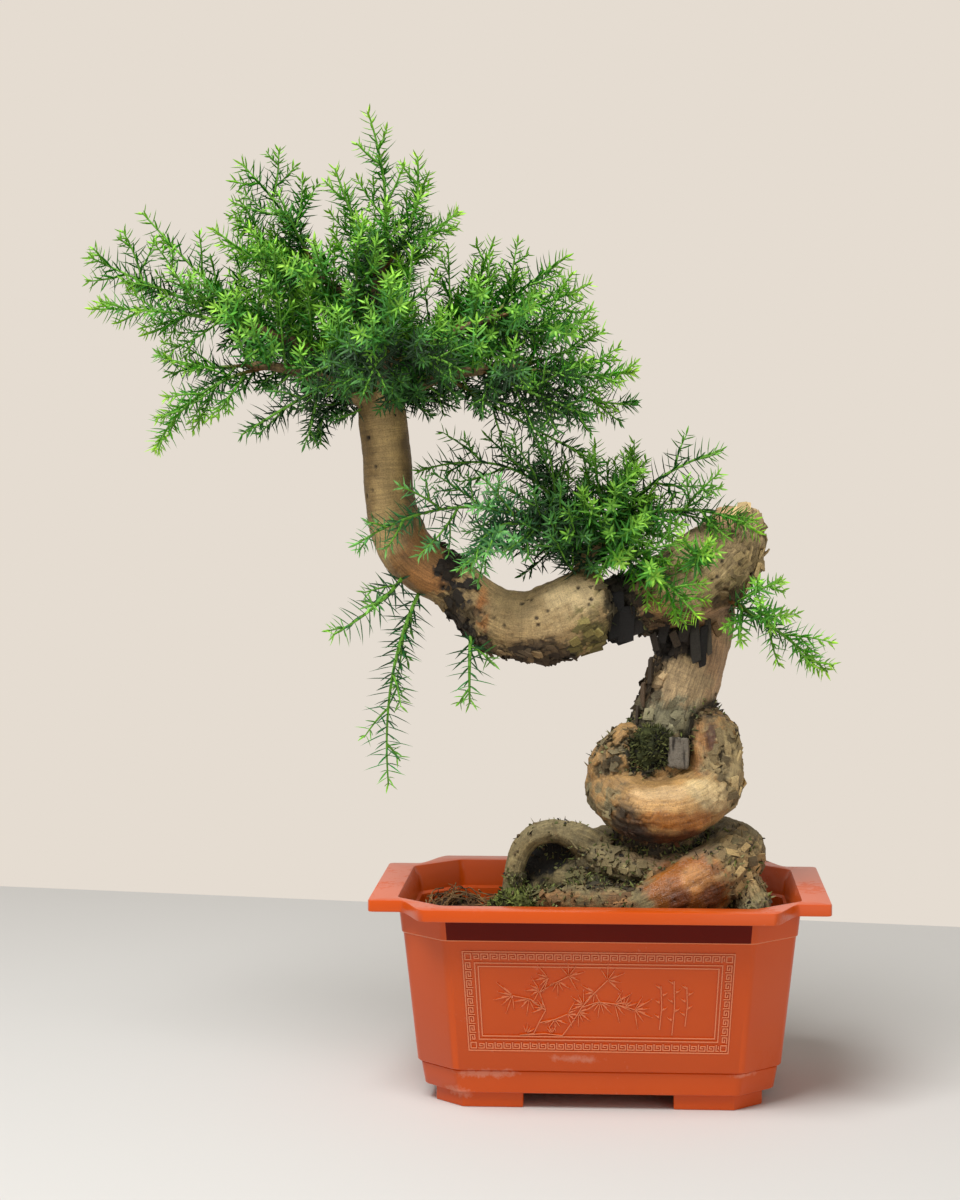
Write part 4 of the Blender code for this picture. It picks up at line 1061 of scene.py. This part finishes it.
def makeWood(name):
    spec = wood[name]
    piece = joined([tube(limb, [smoothRun(limbs[limb], 4)], 6) for limb in spec["limbs"]], name)
    applyModifier(piece, "REMESH", mode="VOXEL", voxel_size=spec["voxel"])
    applyModifier(piece, "SMOOTH", factor=0.5, iterations=8)
    if name == "wood_base":  # what stands in the soil is cut away, a little under its surface
        editAll(piece)
        bpy.ops.mesh.bisect(plane_co=(0, 0, 82), plane_no=(0, 0, 1), use_fill=True, clear_inner=True)
        bpy.ops.object.mode_set(mode="OBJECT")
    line = spine(spec["limbs"])
    places, out = verts(piece), normals(piece)
    grain = grainOf(places, line)
    finish = brushed(places, spec["base"], spec.get("brushes", []))
    seed = spec["seed"]

    lump = ripple(places, 15, seed) + 0.45 * ripple(places, 5, seed + 1) + spec.get("gnarl", 0) * ripple(places, 34,
            seed + 7, 1)
    strand = ripple(grain / np.array((3.2, 3.2, 26)), 1, seed + 2, 2)
    plateNear, plateNext, plateTag = cells(grain / np.array((5.5, 5.5, 9)) + 0.25 * ripple(places, 4, seed)[:, None],
                                           1, seed)
    groove = 1 - ease(plateNext - plateNear, 0.02, 0.2)
    plate = (plateTag - 0.45) * 1.3 - 0.7 * groove
    spotNear, _, spotTag = cells(places, 5.5, seed + 3)
    spot = (1 - ease(spotNear, 0.14, 0.28)) * (spotTag > 0.4)
    crackNear, crackNext, _ = cells(grain / np.array((9, 9, 34)) + 0.5 * ripple(places, 12, seed + 4)[:, None], 1,
                                    seed + 5)
    crack = (1 - ease(crackNext - crackNear, 0.01, 0.09)) * ease(ripple(places, 20, seed + 6), -0.2, 0.3)

    shift = (finish["lump"] * lump * 0.8 + finish["fibre"] * strand + finish["flake"] * plate * 0.6
             - finish["pit"] * spot - finish["crack"] * crack * 1.3)
    thin = ease(line[nearest(places, line)[0], 3], 1.5, 12)  # thin twigs keep their shape
    moveVerts(piece, places + out * (shift * thin)[:, None])

    tint = finish["tint"] * (1 + 0.22 * ripple(places, 9, seed + 8) + 0.12 * strand)[:, None]
    tint = blend(tint, tint * 0.45, np.clip(groove * finish["flake"] * 0.6, 0, 0.9))
    tint = blend(tint, tint * (0.55 + 0.9 * plateTag[:, None]), np.clip(finish["flake"] * 0.45, 0, 0.8))
    dark = paint("#1E160E")
    tint = blend(tint, dark, np.clip(spot * finish["pit"] * 1.1 + crack * finish["crack"] * 0.8, 0, 0.9))
    others = [limb for other, data in wood.items() if other != name for limb in data["limbs"]]
    _, gap = nearest(places, spine(others))
    seam = 1 - ease(gap + 1.5 * ripple(places, 6, seed + 9), 0.5, 5)
    tint = blend(tint, paint("#2B2518"), seam * (0.85 if name != "wood_stem" else 0.5))
    keepColour(piece, "barkTint", np.clip(tint, 0, 1))
    keepVector(piece, "grain", grain)
    keepColour(piece, "gloss", np.stack([finish["gloss"] * (1 - seam), finish["streak"], finish["ring"],
                                         np.ones(len(places))], 1))
    surface, facing = verts(piece), normals(piece)
    extras = crumbsIn(name, surface, facing, gap, finish["moss"], spec["crumbs"], seed)
    extras.append(flakesOn(name, surface, facing, line[nearest(surface, line)[0], 4:7], tint, finish, spec["flakes"],
                           seed))
    for x, y, z, turn, lean, roll, wide, long, thick, code in spec.get("slats", []):
        spin, tip, twist = math.radians(turn), math.radians(90 + lean), math.radians(roll)
        axes = Matrix.Rotation(spin, 3, "Z") @ Matrix.Rotation(tip, 3, "X") @ Matrix.Rotation(twist, 3, "Z")
        extras.append(layCopies(name + " slat", plateForm, np.array([[x, y, z]], float),
                                np.array(axes.transposed())[None],
                                np.array([[wide, long, thick]], float), paint(code)[None]))
    piece = joined([piece] + [extra for extra in extras if extra], name)
    dress(piece, bark)
    return settle(piece, ["tree_wood"], 60)


plateForm, crumbForm = makePlate(), makeCrumb()
needleForm = makeNeedle()


# Juniper bark, dry and weathered: matt and stringy where it flakes, with a waxy sheen where the wood under it shows
bark, barkShader = newMaterial("juniper bark, weathered and partly polished", IOR=1.5)
ownTint = addNode(bark, "Attribute", attribute_name="barkTint").outputs["Color"]
alongGrain = addNode(bark, "Attribute", attribute_name="grain").outputs["Vector"]
amounts = addNode(bark, "SeparateColor", {"Color": addNode(bark, "Attribute",
                                                           attribute_name="gloss").outputs["Color"]}).outputs
streaks = addNode(bark, "Mapping", {"Vector": alongGrain, "Scale": (0.9, 0.9, 0.09)})  # fibres 1 mm wide and 11 mm long
fibreNoise = noise(bark, streaks.outputs[0], 1.0, 4.0, 0.65)
# rings about 1 mm apart round a limb
hoops = addNode(bark, "Mapping", {"Vector": alongGrain, "Scale": (0.06, 0.06, 0.9)})
ringNoise = noise(bark, hoops.outputs[0], 1.0, 2.0)
speckNoise = noise(bark, alongGrain, 1.3, 5.0, 0.75)  # crumbs under 1 mm
tone = ownTint
for share, value, stops in (
    (amounts["Green"], fibreNoise, [(0.3, 0.42), (0.5, 0.9), (0.68, 1.25)]),
    (amounts["Blue"], ringNoise, [(0.35, 0.72), (0.6, 1.12)]),
    (0.8, speckNoise, [(0.34, 0.4), (0.47, 0.95), (0.7, 1.3)]),
):
    dark = ramp(bark, value, *((place, grey(level)) for place, level in stops))
    tone = mixed(bark, share, tone, dark, "MULTIPLY")
plug(bark, tone, barkShader.inputs["Base Color"])
roughness = addNode(bark, "MapRange", {"Value": amounts["Red"], "To Min": 0.85, "To Max": 0.22})
plug(bark, roughness.outputs[0], barkShader.inputs["Roughness"])
relief = addNode(bark, "Math", {0: fibreNoise, 1: speckNoise}, operation="ADD")
relief = addNode(bark, "Math", {0: relief.outputs[0], 1: ringNoise}, operation="ADD")
bumped(bark, barkShader, relief.outputs[0], 0.7, 0.0006)

for name in wood:
    made = makeWood(name)
    print("stage:", name, len(made.data.polygons))


# ---- shoots

# gap is from whorl to whorl and sides from one side shoot to the next, in mm. lean is in degrees.
# reach is a side shoot's share of what is left of its own shoot
foliage = {
    "crown": {"gap": 2.9, "needle": 12.8, "lean": 71, "sides": 10.5, "reach": 0.52,
              "tints": ("#07280B", "#2F8212", "#97D336")},
    # deep is the dark foliage of low, inner and downward shoots, partly painted shade under the crown
    "deep": {"gap": 3.0, "needle": 13.2, "lean": 72, "sides": 11, "reach": 0.5,
             "tints": ("#021205", "#0C3A0E", "#3A841A")},
    "bright": {"gap": 2.9, "needle": 12.2, "lean": 69, "sides": 9, "reach": 0.48,
               "tints": ("#124F12", "#459A1A", "#ABDE42")},
    "open": {"gap": 3.7, "needle": 13.2, "lean": 75, "sides": 15, "reach": 0.46,
             "tints": ("#08301A", "#226A1E", "#7ABF38")},
    "blue": {"gap": 3.5, "needle": 13.4, "lean": 74, "sides": 13, "reach": 0.48,
             "tints": ("#0C3F24", "#3B8248", "#86CE66")},
    "hanging": {"gap": 4.4, "needle": 14.5, "lean": 76, "sides": 24, "reach": 0.34,
                "tints": ("#10462A", "#2F8038", "#8ECE40")},
}
# Each shoot: its foliage, and where it leaves the wood, bows and ends
shoots = {
    "left_rising": ("crown", (-195, -10, 426), (-222, -9, 452), (-256, -6, 488)),
    "left_long": ("crown", (-203, -11, 429), (-244, -17, 445), (-284, -18, 463)),
    "left_front": ("bright", (-184, -9, 420), (-232, -27, 431), (-279, -34, 433)),
    "left_low_tip": ("open", (-195, -21, 403), (-222, -25, 402), (-243, -28, 408)),
    "left_drooping": ("bright", (-184, -19, 402), (-220, -33, 386), (-244, -38, 356)),
    "under_left_front": ("deep", (-150, -12, 393), (-172, -27, 380), (-197, -34, 364)),
    "under_left_back": ("deep", (-124, 2, 383), (-154, 12, 379), (-160, 24, 359)),
    "upper_left_tall": ("crown", (-159, 0, 455), (-178, 1, 488), (-202, 4, 516)),
    "upper_left_front": ("bright", (-152, 0, 449), (-182, -18, 457), (-214, -24, 478)),
    "upper_left_back": ("crown", (-150, 0, 447), (-182, 20, 468), (-209, 28, 489)),
    "spire_leader": ("bright", (-123, 0, 469), (-121, 0, 502), (-130, 0, 543)),
    "spire_left": ("bright", (-124, 0, 448), (-136, -11, 480), (-147, -15, 511)),
    "spire_right": ("bright", (-123, 0, 454), (-105, -7, 484), (-102, -8, 518)),
    "spire_front": ("crown", (-124, 0, 430), (-134, -26, 450), (-129, -32, 481)),
    "spire_side": ("bright", (-123, 0, 438), (-104, 12, 466), (-81, 16, 490)),
    "spire_back": ("crown", (-124, 0, 438), (-130, 26, 460), (-131, 42, 487)),
    "front_upright": ("crown", (-117, -30, 399), (-106, -44, 428), (-102, -42, 466)),
    "right_top_short": ("crown", (-84, -3, 419), (-72, 9, 444), (-61, 16, 474)),
    "right_top_long": ("crown", (-64, -4, 427), (-42, 4, 447), (-19, 7, 464)),
    "right_upper_tip": ("bright", (-57, -5, 430), (-31, -13, 437), (-6, -20, 447)),
    "right_front": ("crown", (-72, -4, 424), (-36, -27, 421), (-5, -34, 427)),
    "right_mid_rising": ("crown", (-56, -19, 401), (-24, -20, 408), (2, -15, 422)),
    "right_mid_tip": ("bright", (-45, -20, 401), (-13, -34, 397), (17, -38, 398)),
    "right_low": ("deep", (-50, -19, 401), (-16, -15, 386), (18, -13, 381)),
    "right_low_front": ("deep", (-66, -18, 400), (-35, -46, 386), (-6, -56, 374)),
    "right_drooping": ("deep", (-86, -13, 397), (-48, -18, 374), (-1, -20, 349)),
    "front_tip": ("deep", (-114, -43, 406), (-119, -66, 401), (-124, -87, 385)),
    "front_left": ("deep", (-118, -28, 398), (-139, -54, 402), (-161, -70, 393)),
    "front_right": ("deep", (-115, -38, 403), (-93, -57, 406), (-72, -72, 397)),
    "front_rising": ("crown", (-114, -42, 405), (-113, -66, 424), (-108, -82, 448)),
    "back_tip": ("deep", (-128, 49, 412), (-133, 70, 409), (-139, 88, 394)),
    "back_left": ("deep", (-126, 34, 404), (-150, 60, 404), (-174, 76, 393)),
    "back_right": ("deep", (-126, 30, 402), (-104, 54, 408), (-82, 76, 402)),
    "back_rising": ("crown", (-128, 46, 411), (-126, 66, 434), (-122, 82, 457)),
    "left_back_tip": ("crown", (-173, 41, 421), (-202, 50, 437), (-232, 56, 450)),
    "left_back_rising": ("crown", (-165, 35, 417), (-180, 50, 446), (-190, 62, 468)),
    "right_back_tip": ("crown", (-74, 44, 415), (-48, 54, 424), (-20, 60, 430)),
    "right_back_low": ("deep", (-86, 34, 409), (-56, 38, 400), (-30, 40, 385)),
    "right_back_rising": ("crown", (-80, 39, 412), (-66, 56, 438), (-50, 66, 458)),
    "middle_left_top": ("open", (-10, -6, 301), (-46, -6, 344), (-103, -2, 344)),
    "middle_left_long": ("blue", (-34, -10, 316), (-84, -25, 324), (-134, -36, 304)),
    "middle_left_hanging": ("blue", (-26, -9, 311), (-56, -38, 314), (-70, -50, 290)),
    "middle_up": ("crown", (-9, -6, 301), (4, -18, 330), (20, -23, 346)),
    "middle_right_top": ("open", (4, -8, 309), (31, 5, 339), (68, 10, 356)),
    "middle_right_long": ("crown", (20, -10, 319), (54, -24, 323), (86, -33, 311)),
    "middle_front": ("bright", (0, -7, 305), (28, -36, 290), (53, -54, 266)),
    "middle_back": ("deep", (-10, -6, 298), (-24, 18, 330), (-34, 36, 353)),
    "knob_right": ("bright", (62, -10, 278), (95, -40, 259), (123, -42, 236)),
    "knob_front": ("bright", (56, -6, 289), (52, -42, 298), (58, -50, 306)),
    "hanging_long": ("hanging", (-100, -4, 281), (-114, -37, 230), (-116, -36, 172)),
    "hanging_left": ("hanging", (-106, -4, 290), (-124, -32, 270), (-146, -40, 255)),
    "hanging_short": ("hanging", (-72, -5, 262), (-72, -26, 237), (-72, -24, 216)),
}

# Sprigs on the limbs: foliage low and high on the limb, and how long they are against the usual
crownLimbs = {
    "stem": ("deep", "deep", 1.0),
    "leftUpperLimb": ("deep", "crown", 1.1),
    "leftLowerLimb": ("deep", "crown", 0.9),
    "leftBackLimb": ("deep", "crown", 1.0),
    "topLeftLimb": ("crown", "bright", 0.9),
    "rightUpperLimb": ("deep", "crown", 1.05),
    "rightMiddleLimb": ("deep", "crown", 0.9),
    "rightBackLimb": ("deep", "crown", 1.0),
    "frontLimb": ("deep", "crown", 0.95),
    "backLimb": ("deep", "crown", 1.0),
    "middleBranch": ("deep", "deep", 0.95),
    "middleLeftTwig": ("deep", "crown", 1.05),
    "middleRightTwig": ("crown", "bright", 1.0),
}


fullTurn = 6.28


def bowed(start, middle, tip):  # places every 2 mm along a bow that passes near its middle
    control = 2 * middle - (start + tip) / 2
    count = max(5, round(((middle - start).length + (tip - middle).length) / 2))
    shares = [i / count for i in range(count + 1)]
    return [start * (1 - t) ** 2 + control * 2 * t * (1 - t) + tip * t ** 2 for t in shares]


def headingAt(run, i):
    return (run[min(i + 1, len(run) - 1)] - run[max(i - 1, 0)]).normalized()


def outOf(heading, angle):  # the way out of a twig at this angle round it
    side = heading.orthogonal().normalized()
    return side * math.cos(angle) + heading.cross(side) * math.sin(angle)


# shoots that leave this one round its twig, each shorter than what is left of it
def sideShoots(run, kind, chance, depth):
    found = []
    step = (run[1] - run[0]).length
    length = step * (len(run) - 1)
    around = chance.uniform(0, fullTurn)
    place = chance.uniform(7, 12)
    while place < length - 7:
        i = int(place / step)
        heading = headingAt(run, i)
        out = outOf(heading, around).normalized()
        reach = min(34, max(9, kind["reach"] * (length - place + 14) * chance.uniform(0.7, 1.15)))
        slant = math.radians(chance.uniform(36, 52))
        way = heading * math.cos(slant) + out * math.sin(slant)
        end = run[i] + way * reach + heading * reach * 0.12
        side = bowed(run[i], run[i] + way * reach * 0.52, end)
        found.append((side, depth))
        if depth < 2 and reach > 23:
            found += sideShoots(side, kind, chance, depth + 1)
        around += 2.4 + chance.uniform(-0.4, 0.4)
        place += kind["sides"] * chance.uniform(0.75, 1.25)
    return found


def limbSprigs():  # short shoots along the crown's limbs, listed under the shoot that starts nearest
    chance = random.Random(77)
    sprigs = {name: [] for name in shoots}
    bases = {name: Vector(shoots[name][1]) for name in shoots}
    for limb, (low, high, long) in crownLimbs.items():
        run = smoothRun(limbs[limb], 2)
        around = chance.uniform(0, fullTurn)
        every, lowest = (3, 376) if limb == "stem" else (1, 284) if limb.startswith("middle") else (2, 0)
        for i in range(3, len(run) - 1, every):
            place, radius = run[i].xyz, run[i].w
            if place.z < lowest:
                continue
            heading = (run[min(i + 1, len(run) - 1)].xyz - run[i - 1].xyz).normalized()
            if limb == "stem":
                heading = -heading
            out = outOf(heading, around)
            around += 2.4 + chance.uniform(-0.5, 0.5)
            way = (out + heading * 0.35 + Vector((0, 0, 0.3))).normalized()
            reach = chance.uniform(24, 44) if way.z > -0.1 else chance.uniform(16, 26)
            reach *= long
            start = place + out * radius * 0.7
            end = start + way * reach + Vector((0, 0, reach * 0.12))
            # sprigs that point down or end low take the darker low foliage as painted shade
            shade = low if way.z < 0.25 or place.z + way.z * reach < 402 else high
            near = min(bases, key=lambda name: (bases[name] - place).length)
            sprigs[near].append((bowed(start, start + way * reach * 0.5, end), shade))
    return sprigs


def whorls(run, depth, kind, chance):  # a row for each needle: foot, three axes, length, width and tint
    rows = []
    step = (run[1] - run[0]).length
    length = step * (len(run) - 1)
    size = kind["needle"] * (1, 0.86, 0.72)[depth]
    dark, middle, young = (paint(code) for code in kind["tints"])
    place, turn = (3.0 if depth == 0 else 1.5), chance.uniform(0, fullTurn)
    while place < length:
        i = min(int(place / step), len(run) - 2)
        foot = run[i].lerp(run[i + 1], place / step - i)
        heading = headingAt(run, i)
        left = length - place
        fresh = (1 - min(1, left / 13)) * (1, 0.8, 0.6)[depth]
        long = size * min(1, 0.6 + place / 22) * (0.46 + 0.54 * min(1, left / 16))
        lean = kind["lean"] * (0.7 + 0.3 * min(1, left / 8))
        # needles far from the tip are darker: older growth, with painted shade inside the shoot
        inner = min(1, max(0, (left - 12) / 38)) * (0.9 if depth == 0 else 0.7)
        for k in range(3):
            angle = turn + k * 2.0944 + chance.uniform(-0.22, 0.22)
            out = outOf(heading, angle)
            tilt = math.radians(lean + chance.uniform(-9, 9))
            way = heading * math.cos(tilt) + out * math.sin(tilt)
            face = heading * math.sin(tilt) - out * math.cos(tilt)
            tint = blend(blend(middle, dark, np.array([inner])), young, np.array([fresh]))[0]
            tint = tint * chance.uniform(0.78, 1.2)
            rows.append((*(foot + out * 0.5), *way.cross(face), *face, *way, long * chance.uniform(0.86, 1.1),
                         (0.7 - 0.06 * fresh) * chance.uniform(0.85, 1.15), *tint))
        turn += 1.047
        place += kind["gap"] * (0.5 + 0.5 * min(1, left / 10)) * chance.uniform(0.9, 1.1)
    return rows


def makeShoot(name, number):
    style, base, middle, tip = shoots[name]
    kind = foliage[style]
    chance = random.Random(100 + number)
    base, middle, tip = Vector(base), Vector(middle), Vector(tip)
    heading = (middle - base).normalized()
    hit = barkTree.ray_cast(base + heading * 40, -heading, 40)[0] or base
    run = bowed(hit - heading * 2, middle, tip)
    runs = [(run, 0, kind)] + [(side, depth, kind) for side, depth in sideShoots(run, kind, chance, 1)]
    for sprig, shade in sprigs[name]:
        runs.append((sprig, 1, foliage[shade]))
        runs += [(side, 2, foliage[shade]) for side, _ in sideShoots(sprig, foliage[shade], chance, 2)]
    rows = np.array([row for path, depth, own in runs for row in whorls(path, depth, own, chance)])

    shape, faces = needleForm
    long, wide = rows[:, 12, None], rows[:, 13, None]
    bend = 0.07 * shape[:, 2] ** 2
    places = (rows[:, None, :3]
              + rows[:, None, 3:6] * (shape[:, 0] * wide)[:, :, None]
              + rows[:, None, 6:9] * (shape[:, 1] * wide + bend * long)[:, :, None]
              + rows[:, None, 9:12] * (shape[:, 2] * long)[:, :, None])
    needles = meshPiece(name + " needles", places.reshape(-1, 3), repeated(faces, len(shape), len(rows)))
    band = (shape[:, 1] > 0) & (shape[:, 2] < 0.9)  # the paler band along the upper side
    tint = rows[:, None, 14:17] * np.where(shape[:, 2] < 0.1, 0.8, 1)[None, :, None]
    tint = tint + (paint("#CFE8C8") - tint) * (band * 0.12)[None, :, None]
    keepColour(needles, "needleTint", tint.reshape(-1, 3))

    paths = [[(*place, (1.25, 0.8, 0.6)[depth] * (1 - 0.6 * i / len(path))) for i, place in enumerate(path)]
             for path, depth, _ in runs]
    twigs = tube(name + " twigs", paths, 1)
    samples = np.array([(*point, 0.5, i / len(path), depth) for path, depth, _ in runs for i, point in enumerate(path)])
    found = samples[nearest(verts(twigs), samples)[0]]
    green = ease(found[:, 4] + 0.3 * (found[:, 5] > 0) + 0.3 * (style == "hanging"), 0.05, 0.35)
    twigTint = blend(paint("#6A4A2A"), paint("#6FA83C"), green)
    keepColour(twigs, "needleTint", twigTint)
    shoot = joined([needles, twigs], "shoot_" + name)
    dress(shoot, needle)
    return settle(shoot, ["shoot_" + name], 40)


# Juniper needles: a waxy skin gives each one a soft highlight, and its tint runs from dark old growth, darker still as
# painted shade deep in the shoots, to lime tips
needle = tinted("juniper needles, waxy skin", "needleTint", 180.0, 2.0, 0.5,  # mottled in patches of 5 mm
                [(0.3, grey(0.75)), (0.7, grey(1.15))], Roughness=0.5, IOR=1.4, Specular_IOR_Level=0.2)

sprigs = limbSprigs()
barkVerts, barkFaces = [], []
for name in wood:
    piece = bpy.data.objects[name]
    start = len(barkVerts)
    barkVerts += [toRow.inverted() @ vert.co for vert in piece.data.vertices]
    barkFaces += [[index + start for index in face.vertices] for face in piece.data.polygons]
barkTree = BVHTree.FromPolygons(barkVerts, barkFaces)
needleCount = 0
for number, name in enumerate(shoots):
    needleCount += len(makeShoot(name, number).data.polygons)
print("stage: shoots", needleCount)


# ---- cut stub, soil, moss and dry rootlets

def makeStub():  # a branch sawn off long ago, split by the saw into a block with upright grain
    clearSelection()
    bpy.ops.mesh.primitive_cube_add(size=1)
    stub = bpy.context.object
    stub.name = "cut_stub"
    editAll(stub)
    bpy.ops.transform.resize(value=(11, 26, 17))
    bpy.ops.mesh.bevel(offset=1.2, segments=2, affect="EDGES")
    bpy.ops.mesh.select_all(action="SELECT")
    bpy.ops.mesh.subdivide(number_cuts=3)
    bpy.ops.object.mode_set(mode="OBJECT")
    stub.data.transform(Matrix.Translation((43, -13, 188)) @ Matrix.Rotation(math.radians(4), 4, "Y")
                        @ Matrix.Rotation(math.radians(-8), 4, "X"))
    applyModifier(stub, "REMESH", mode="VOXEL", voxel_size=0.6)
    places, out = verts(stub), normals(stub)
    split = ripple(places * np.array((1, 0.35, 0.12)), 1.6, 31, 2)
    moveVerts(stub, places + out * (0.5 * split + 0.5 * ripple(places, 5, 32))[:, None])
    tint = blend(paint("#6C6458"), paint("#2A241C"), ease(-split, 0.0, 0.5))
    tint = blend(tint, paint("#857A66"), 0.5 * ease(ripple(places, 7, 33), 0, 0.5))
    keepColour(stub, "barkTint", tint)
    keepVector(stub, "grain", places)
    keepColour(stub, "gloss", np.zeros((len(places), 4)))
    dress(stub, bark)
    return settle(stub, ["tree_wood"], 50)


print("stage: cut stub", len(makeStub().data.polygons))

# Potting mix: damp peat with bark crumbs, matt and nearly black between its grains
mix = tinted("potting mix, damp peat with bark crumbs", "barkTint", 700.0, 5.0, 0.7,  # grains under 1.5 mm
             [(0.35, grey(0.35)), (0.65, grey(1.5))], 0.0008, Roughness=0.92, IOR=1.4)

clearSelection()
soilNode = bpy.data.objects["soil"]
soil = bpy.data.objects.new("potting_mix", soilNode.data.copy())
scene.collection.objects.link(soil)
soil.data.transform(toRow.inverted() @ soilNode.matrix_world)
editAll(soil)
bpy.ops.mesh.remove_doubles(threshold=0.01)
bpy.ops.object.mode_set(mode="OBJECT")
applyModifier(soil, "REMESH", mode="VOXEL", voxel_size=1.4)
places, out = verts(soil), normals(soil)
upper = ease(out[:, 2], 0.3, 0.8) * ease(places[:, 2], 78, 82)
near, second, tag = cells(places, 4.5, 41)
bank = sum(high * np.exp(-((places[:, 0] - x) / 17) ** 2 - ((places[:, 1] - y) / 13) ** 2) for x, y,
           high in ((-86, 40, 12), (90, 34, 9)))
rough = bank + 1.4 * ripple(places, 16, 42) + 0.9 * (tag - 0.5) + 0.8 * (0.5 - near)
moveVerts(soil, places + np.array((0, 0, 1)) * (upper * rough)[:, None])
soilTint = blend(paint("#2A1F15"), paint("#5A4630"), tag * 0.8)
keepColour(soil, "barkTint", soilTint)
chance = np.random.default_rng(43)
topVerts = np.nonzero(upper > 0.8)[0]
grainCount = 1500
chosen = chance.choice(topVerts, grainCount)
axes = tumbled(chance, grainCount)
shades = np.array([paint(code) for code in ("#241A12", "#3B2C1D", "#6B5237", "#8A6A45", "#4A4A28", "#15100B")])
grains = layCopies("grains", crumbForm, verts(soil)[chosen] + np.array((0, 0, 0.3)), axes,
                   chance.uniform(1, 3.6, (grainCount, 1)) * chance.uniform(0.6, 1.3, (grainCount, 3)),
                   shades[chance.integers(0, len(shades), grainCount)])
soil = joined([soil, grains], "potting_mix")
dress(soil, mix)
groundTree = BVHTree.FromPolygons([vert.co for vert in soil.data.vertices],
                                  [list(face.vertices) for face in soil.data.polygons])
settle(soil, ["soil"], 50)
print("stage: potting mix")

mosses = {
    "moss_left": {"at": (-42, -16, 100), "size": (24, 15, 13), "tufts": 1100,
                  "tints": ("#2A2614", "#5C6430", "#8A964C"), "long": 3.2, "rough": 4},
    "moss_hollow": {"at": (29, -18, 190), "size": (13, 11, 13), "tufts": 700,
                    "tints": ("#15130C", "#3A3E20", "#66693C"), "long": 3.6, "rough": 4},
    "moss_back": {"at": (16, 58, 92), "size": (26, 9.5, 9), "tufts": 800, "tints": ("#37401C", "#647236", "#84944A"),
                  "long": 3.0, "rough": 2.5},
}

# Moss: matt velvet, each leaf too small to shine, browner down where it meets the soil
mossMaterial = tinted("moss, dry velvet tufts", "barkTint", 500.0, 4.0, 0.5,  # leaves of about 2 mm
                      [(0.3, grey(0.4)), (0.7, grey(1.4))], 0.0008, Roughness=0.95, IOR=1.35)

for number, (name, spec) in enumerate(mosses.items()):
    clearSelection()
    bpy.ops.mesh.primitive_ico_sphere_add(subdivisions=5, radius=1)
    pad = bpy.context.object
    pad.data.transform(Matrix.Translation(spec["at"]) @ Matrix.Diagonal((*(size * 0.86 for size in spec["size"]), 1)))
    places, out = verts(pad), normals(pad)
    moveVerts(pad, places + out * (spec["rough"] * ripple(places, 10, 50 + number)
                                   + 0.9 * ripple(places, 3, 60 + number))[:, None])
    places, out = verts(pad), normals(pad)
    dark, middle, pale = (paint(code) for code in spec["tints"])
    patch = ease(ripple(places, 8, 70 + number), -0.4, 0.4)
    tint = blend(dark, middle, patch)
    keepColour(pad, "barkTint", tint)
    chance = np.random.default_rng(80 + number)
    count = spec["tufts"]
    chosen = chance.choice(np.nonzero(out[:, 2] > -0.5)[0], count)
    lean = unit(out[chosen] + chance.normal(0, 0.5, (count, 3)))
    side = unit(np.cross(lean, chance.normal(0, 1, (count, 3))))
    long = spec["long"] * chance.uniform(0.5, 1.2, (count, 1))
    tufts = layCopies(name + " tufts", needleForm, places[chosen], np.stack([side, np.cross(lean, side), lean], 1),
                      np.concatenate([np.full((count, 2), 0.55), long], 1),
                      blend(middle, pale, chance.uniform(-0.4, 1, count)))
    moss = joined([pad, tufts], name + "_pad")
    dress(moss, mossMaterial)
    settle(moss, [name], 60)
print("stage: moss")


def onGround(x, y, lift):
    hit = groundTree.ray_cast(Vector((x, y, 130)), Vector((0, 0, -1)))[0]
    return Vector((x, y, (hit.z if hit else 86) + lift))


# Dead rootlets, dried to matt straw-brown threads
fibre, fibreShader = newMaterial("dry rootlets, matt threads", Roughness=0.85, IOR=1.45)
fibreTone = noise(fibre, objectPlace(fibre), 120.0, 3.0)  # patches of 8 mm
fibreTint = ramp(fibre, fibreTone, (0.35, rgb("#4A3420")), (0.65, rgb("#A07E50")))
plug(fibre, fibreTint, fibreShader.inputs["Base Color"])
threads = [
    [(-98, 22, 0.4), (-86, 34, 3), (-74, 44, 4), (-60, 56, 0.6)],
    [(-96, 42, 0.4), (-82, 38, 3.4), (-68, 36, 3), (-54, 44, 0.4)],
    [(-84, 54, 0.6), (-79, 41, 3.8), (-72, 30, 2), (-66, 20, 0.4)],
]
chance = random.Random(9)
for number in range(64):
    x, y = chance.uniform(-100, -60), chance.uniform(24, 50) if number % 3 else chance.uniform(-18, 30)
    angle, reach = chance.uniform(0, fullTurn), chance.uniform(5, 13)
    threads.append([(x + math.cos(angle) * reach * k + chance.uniform(-3, 3),
                     y + math.sin(angle) * reach * k + chance.uniform(-3, 3),
                     chance.uniform(0.3, 9)) for k in (-1.5, -0.5, 0.5, 1.5)])
paths = []
for number, thread in enumerate(threads):
    stations = [(*onGround(max(-101, min(-40, x)), max(-40, min(50, y)), lift), 1) for x, y, lift in thread]
    run = smoothRun(stations, 2.5)
    thick = 0.9 if number < 3 else 0.42
    paths.append([(*place.xyz, thick * (1 - 0.6 * i / len(run))) for i, place in enumerate(run)])
tangle = tube("rootlet_tangle", paths, 1)
dress(tangle, fibre)
settle(tangle, ["dry_rootlets"], 60)
print("stage: dry rootlets")
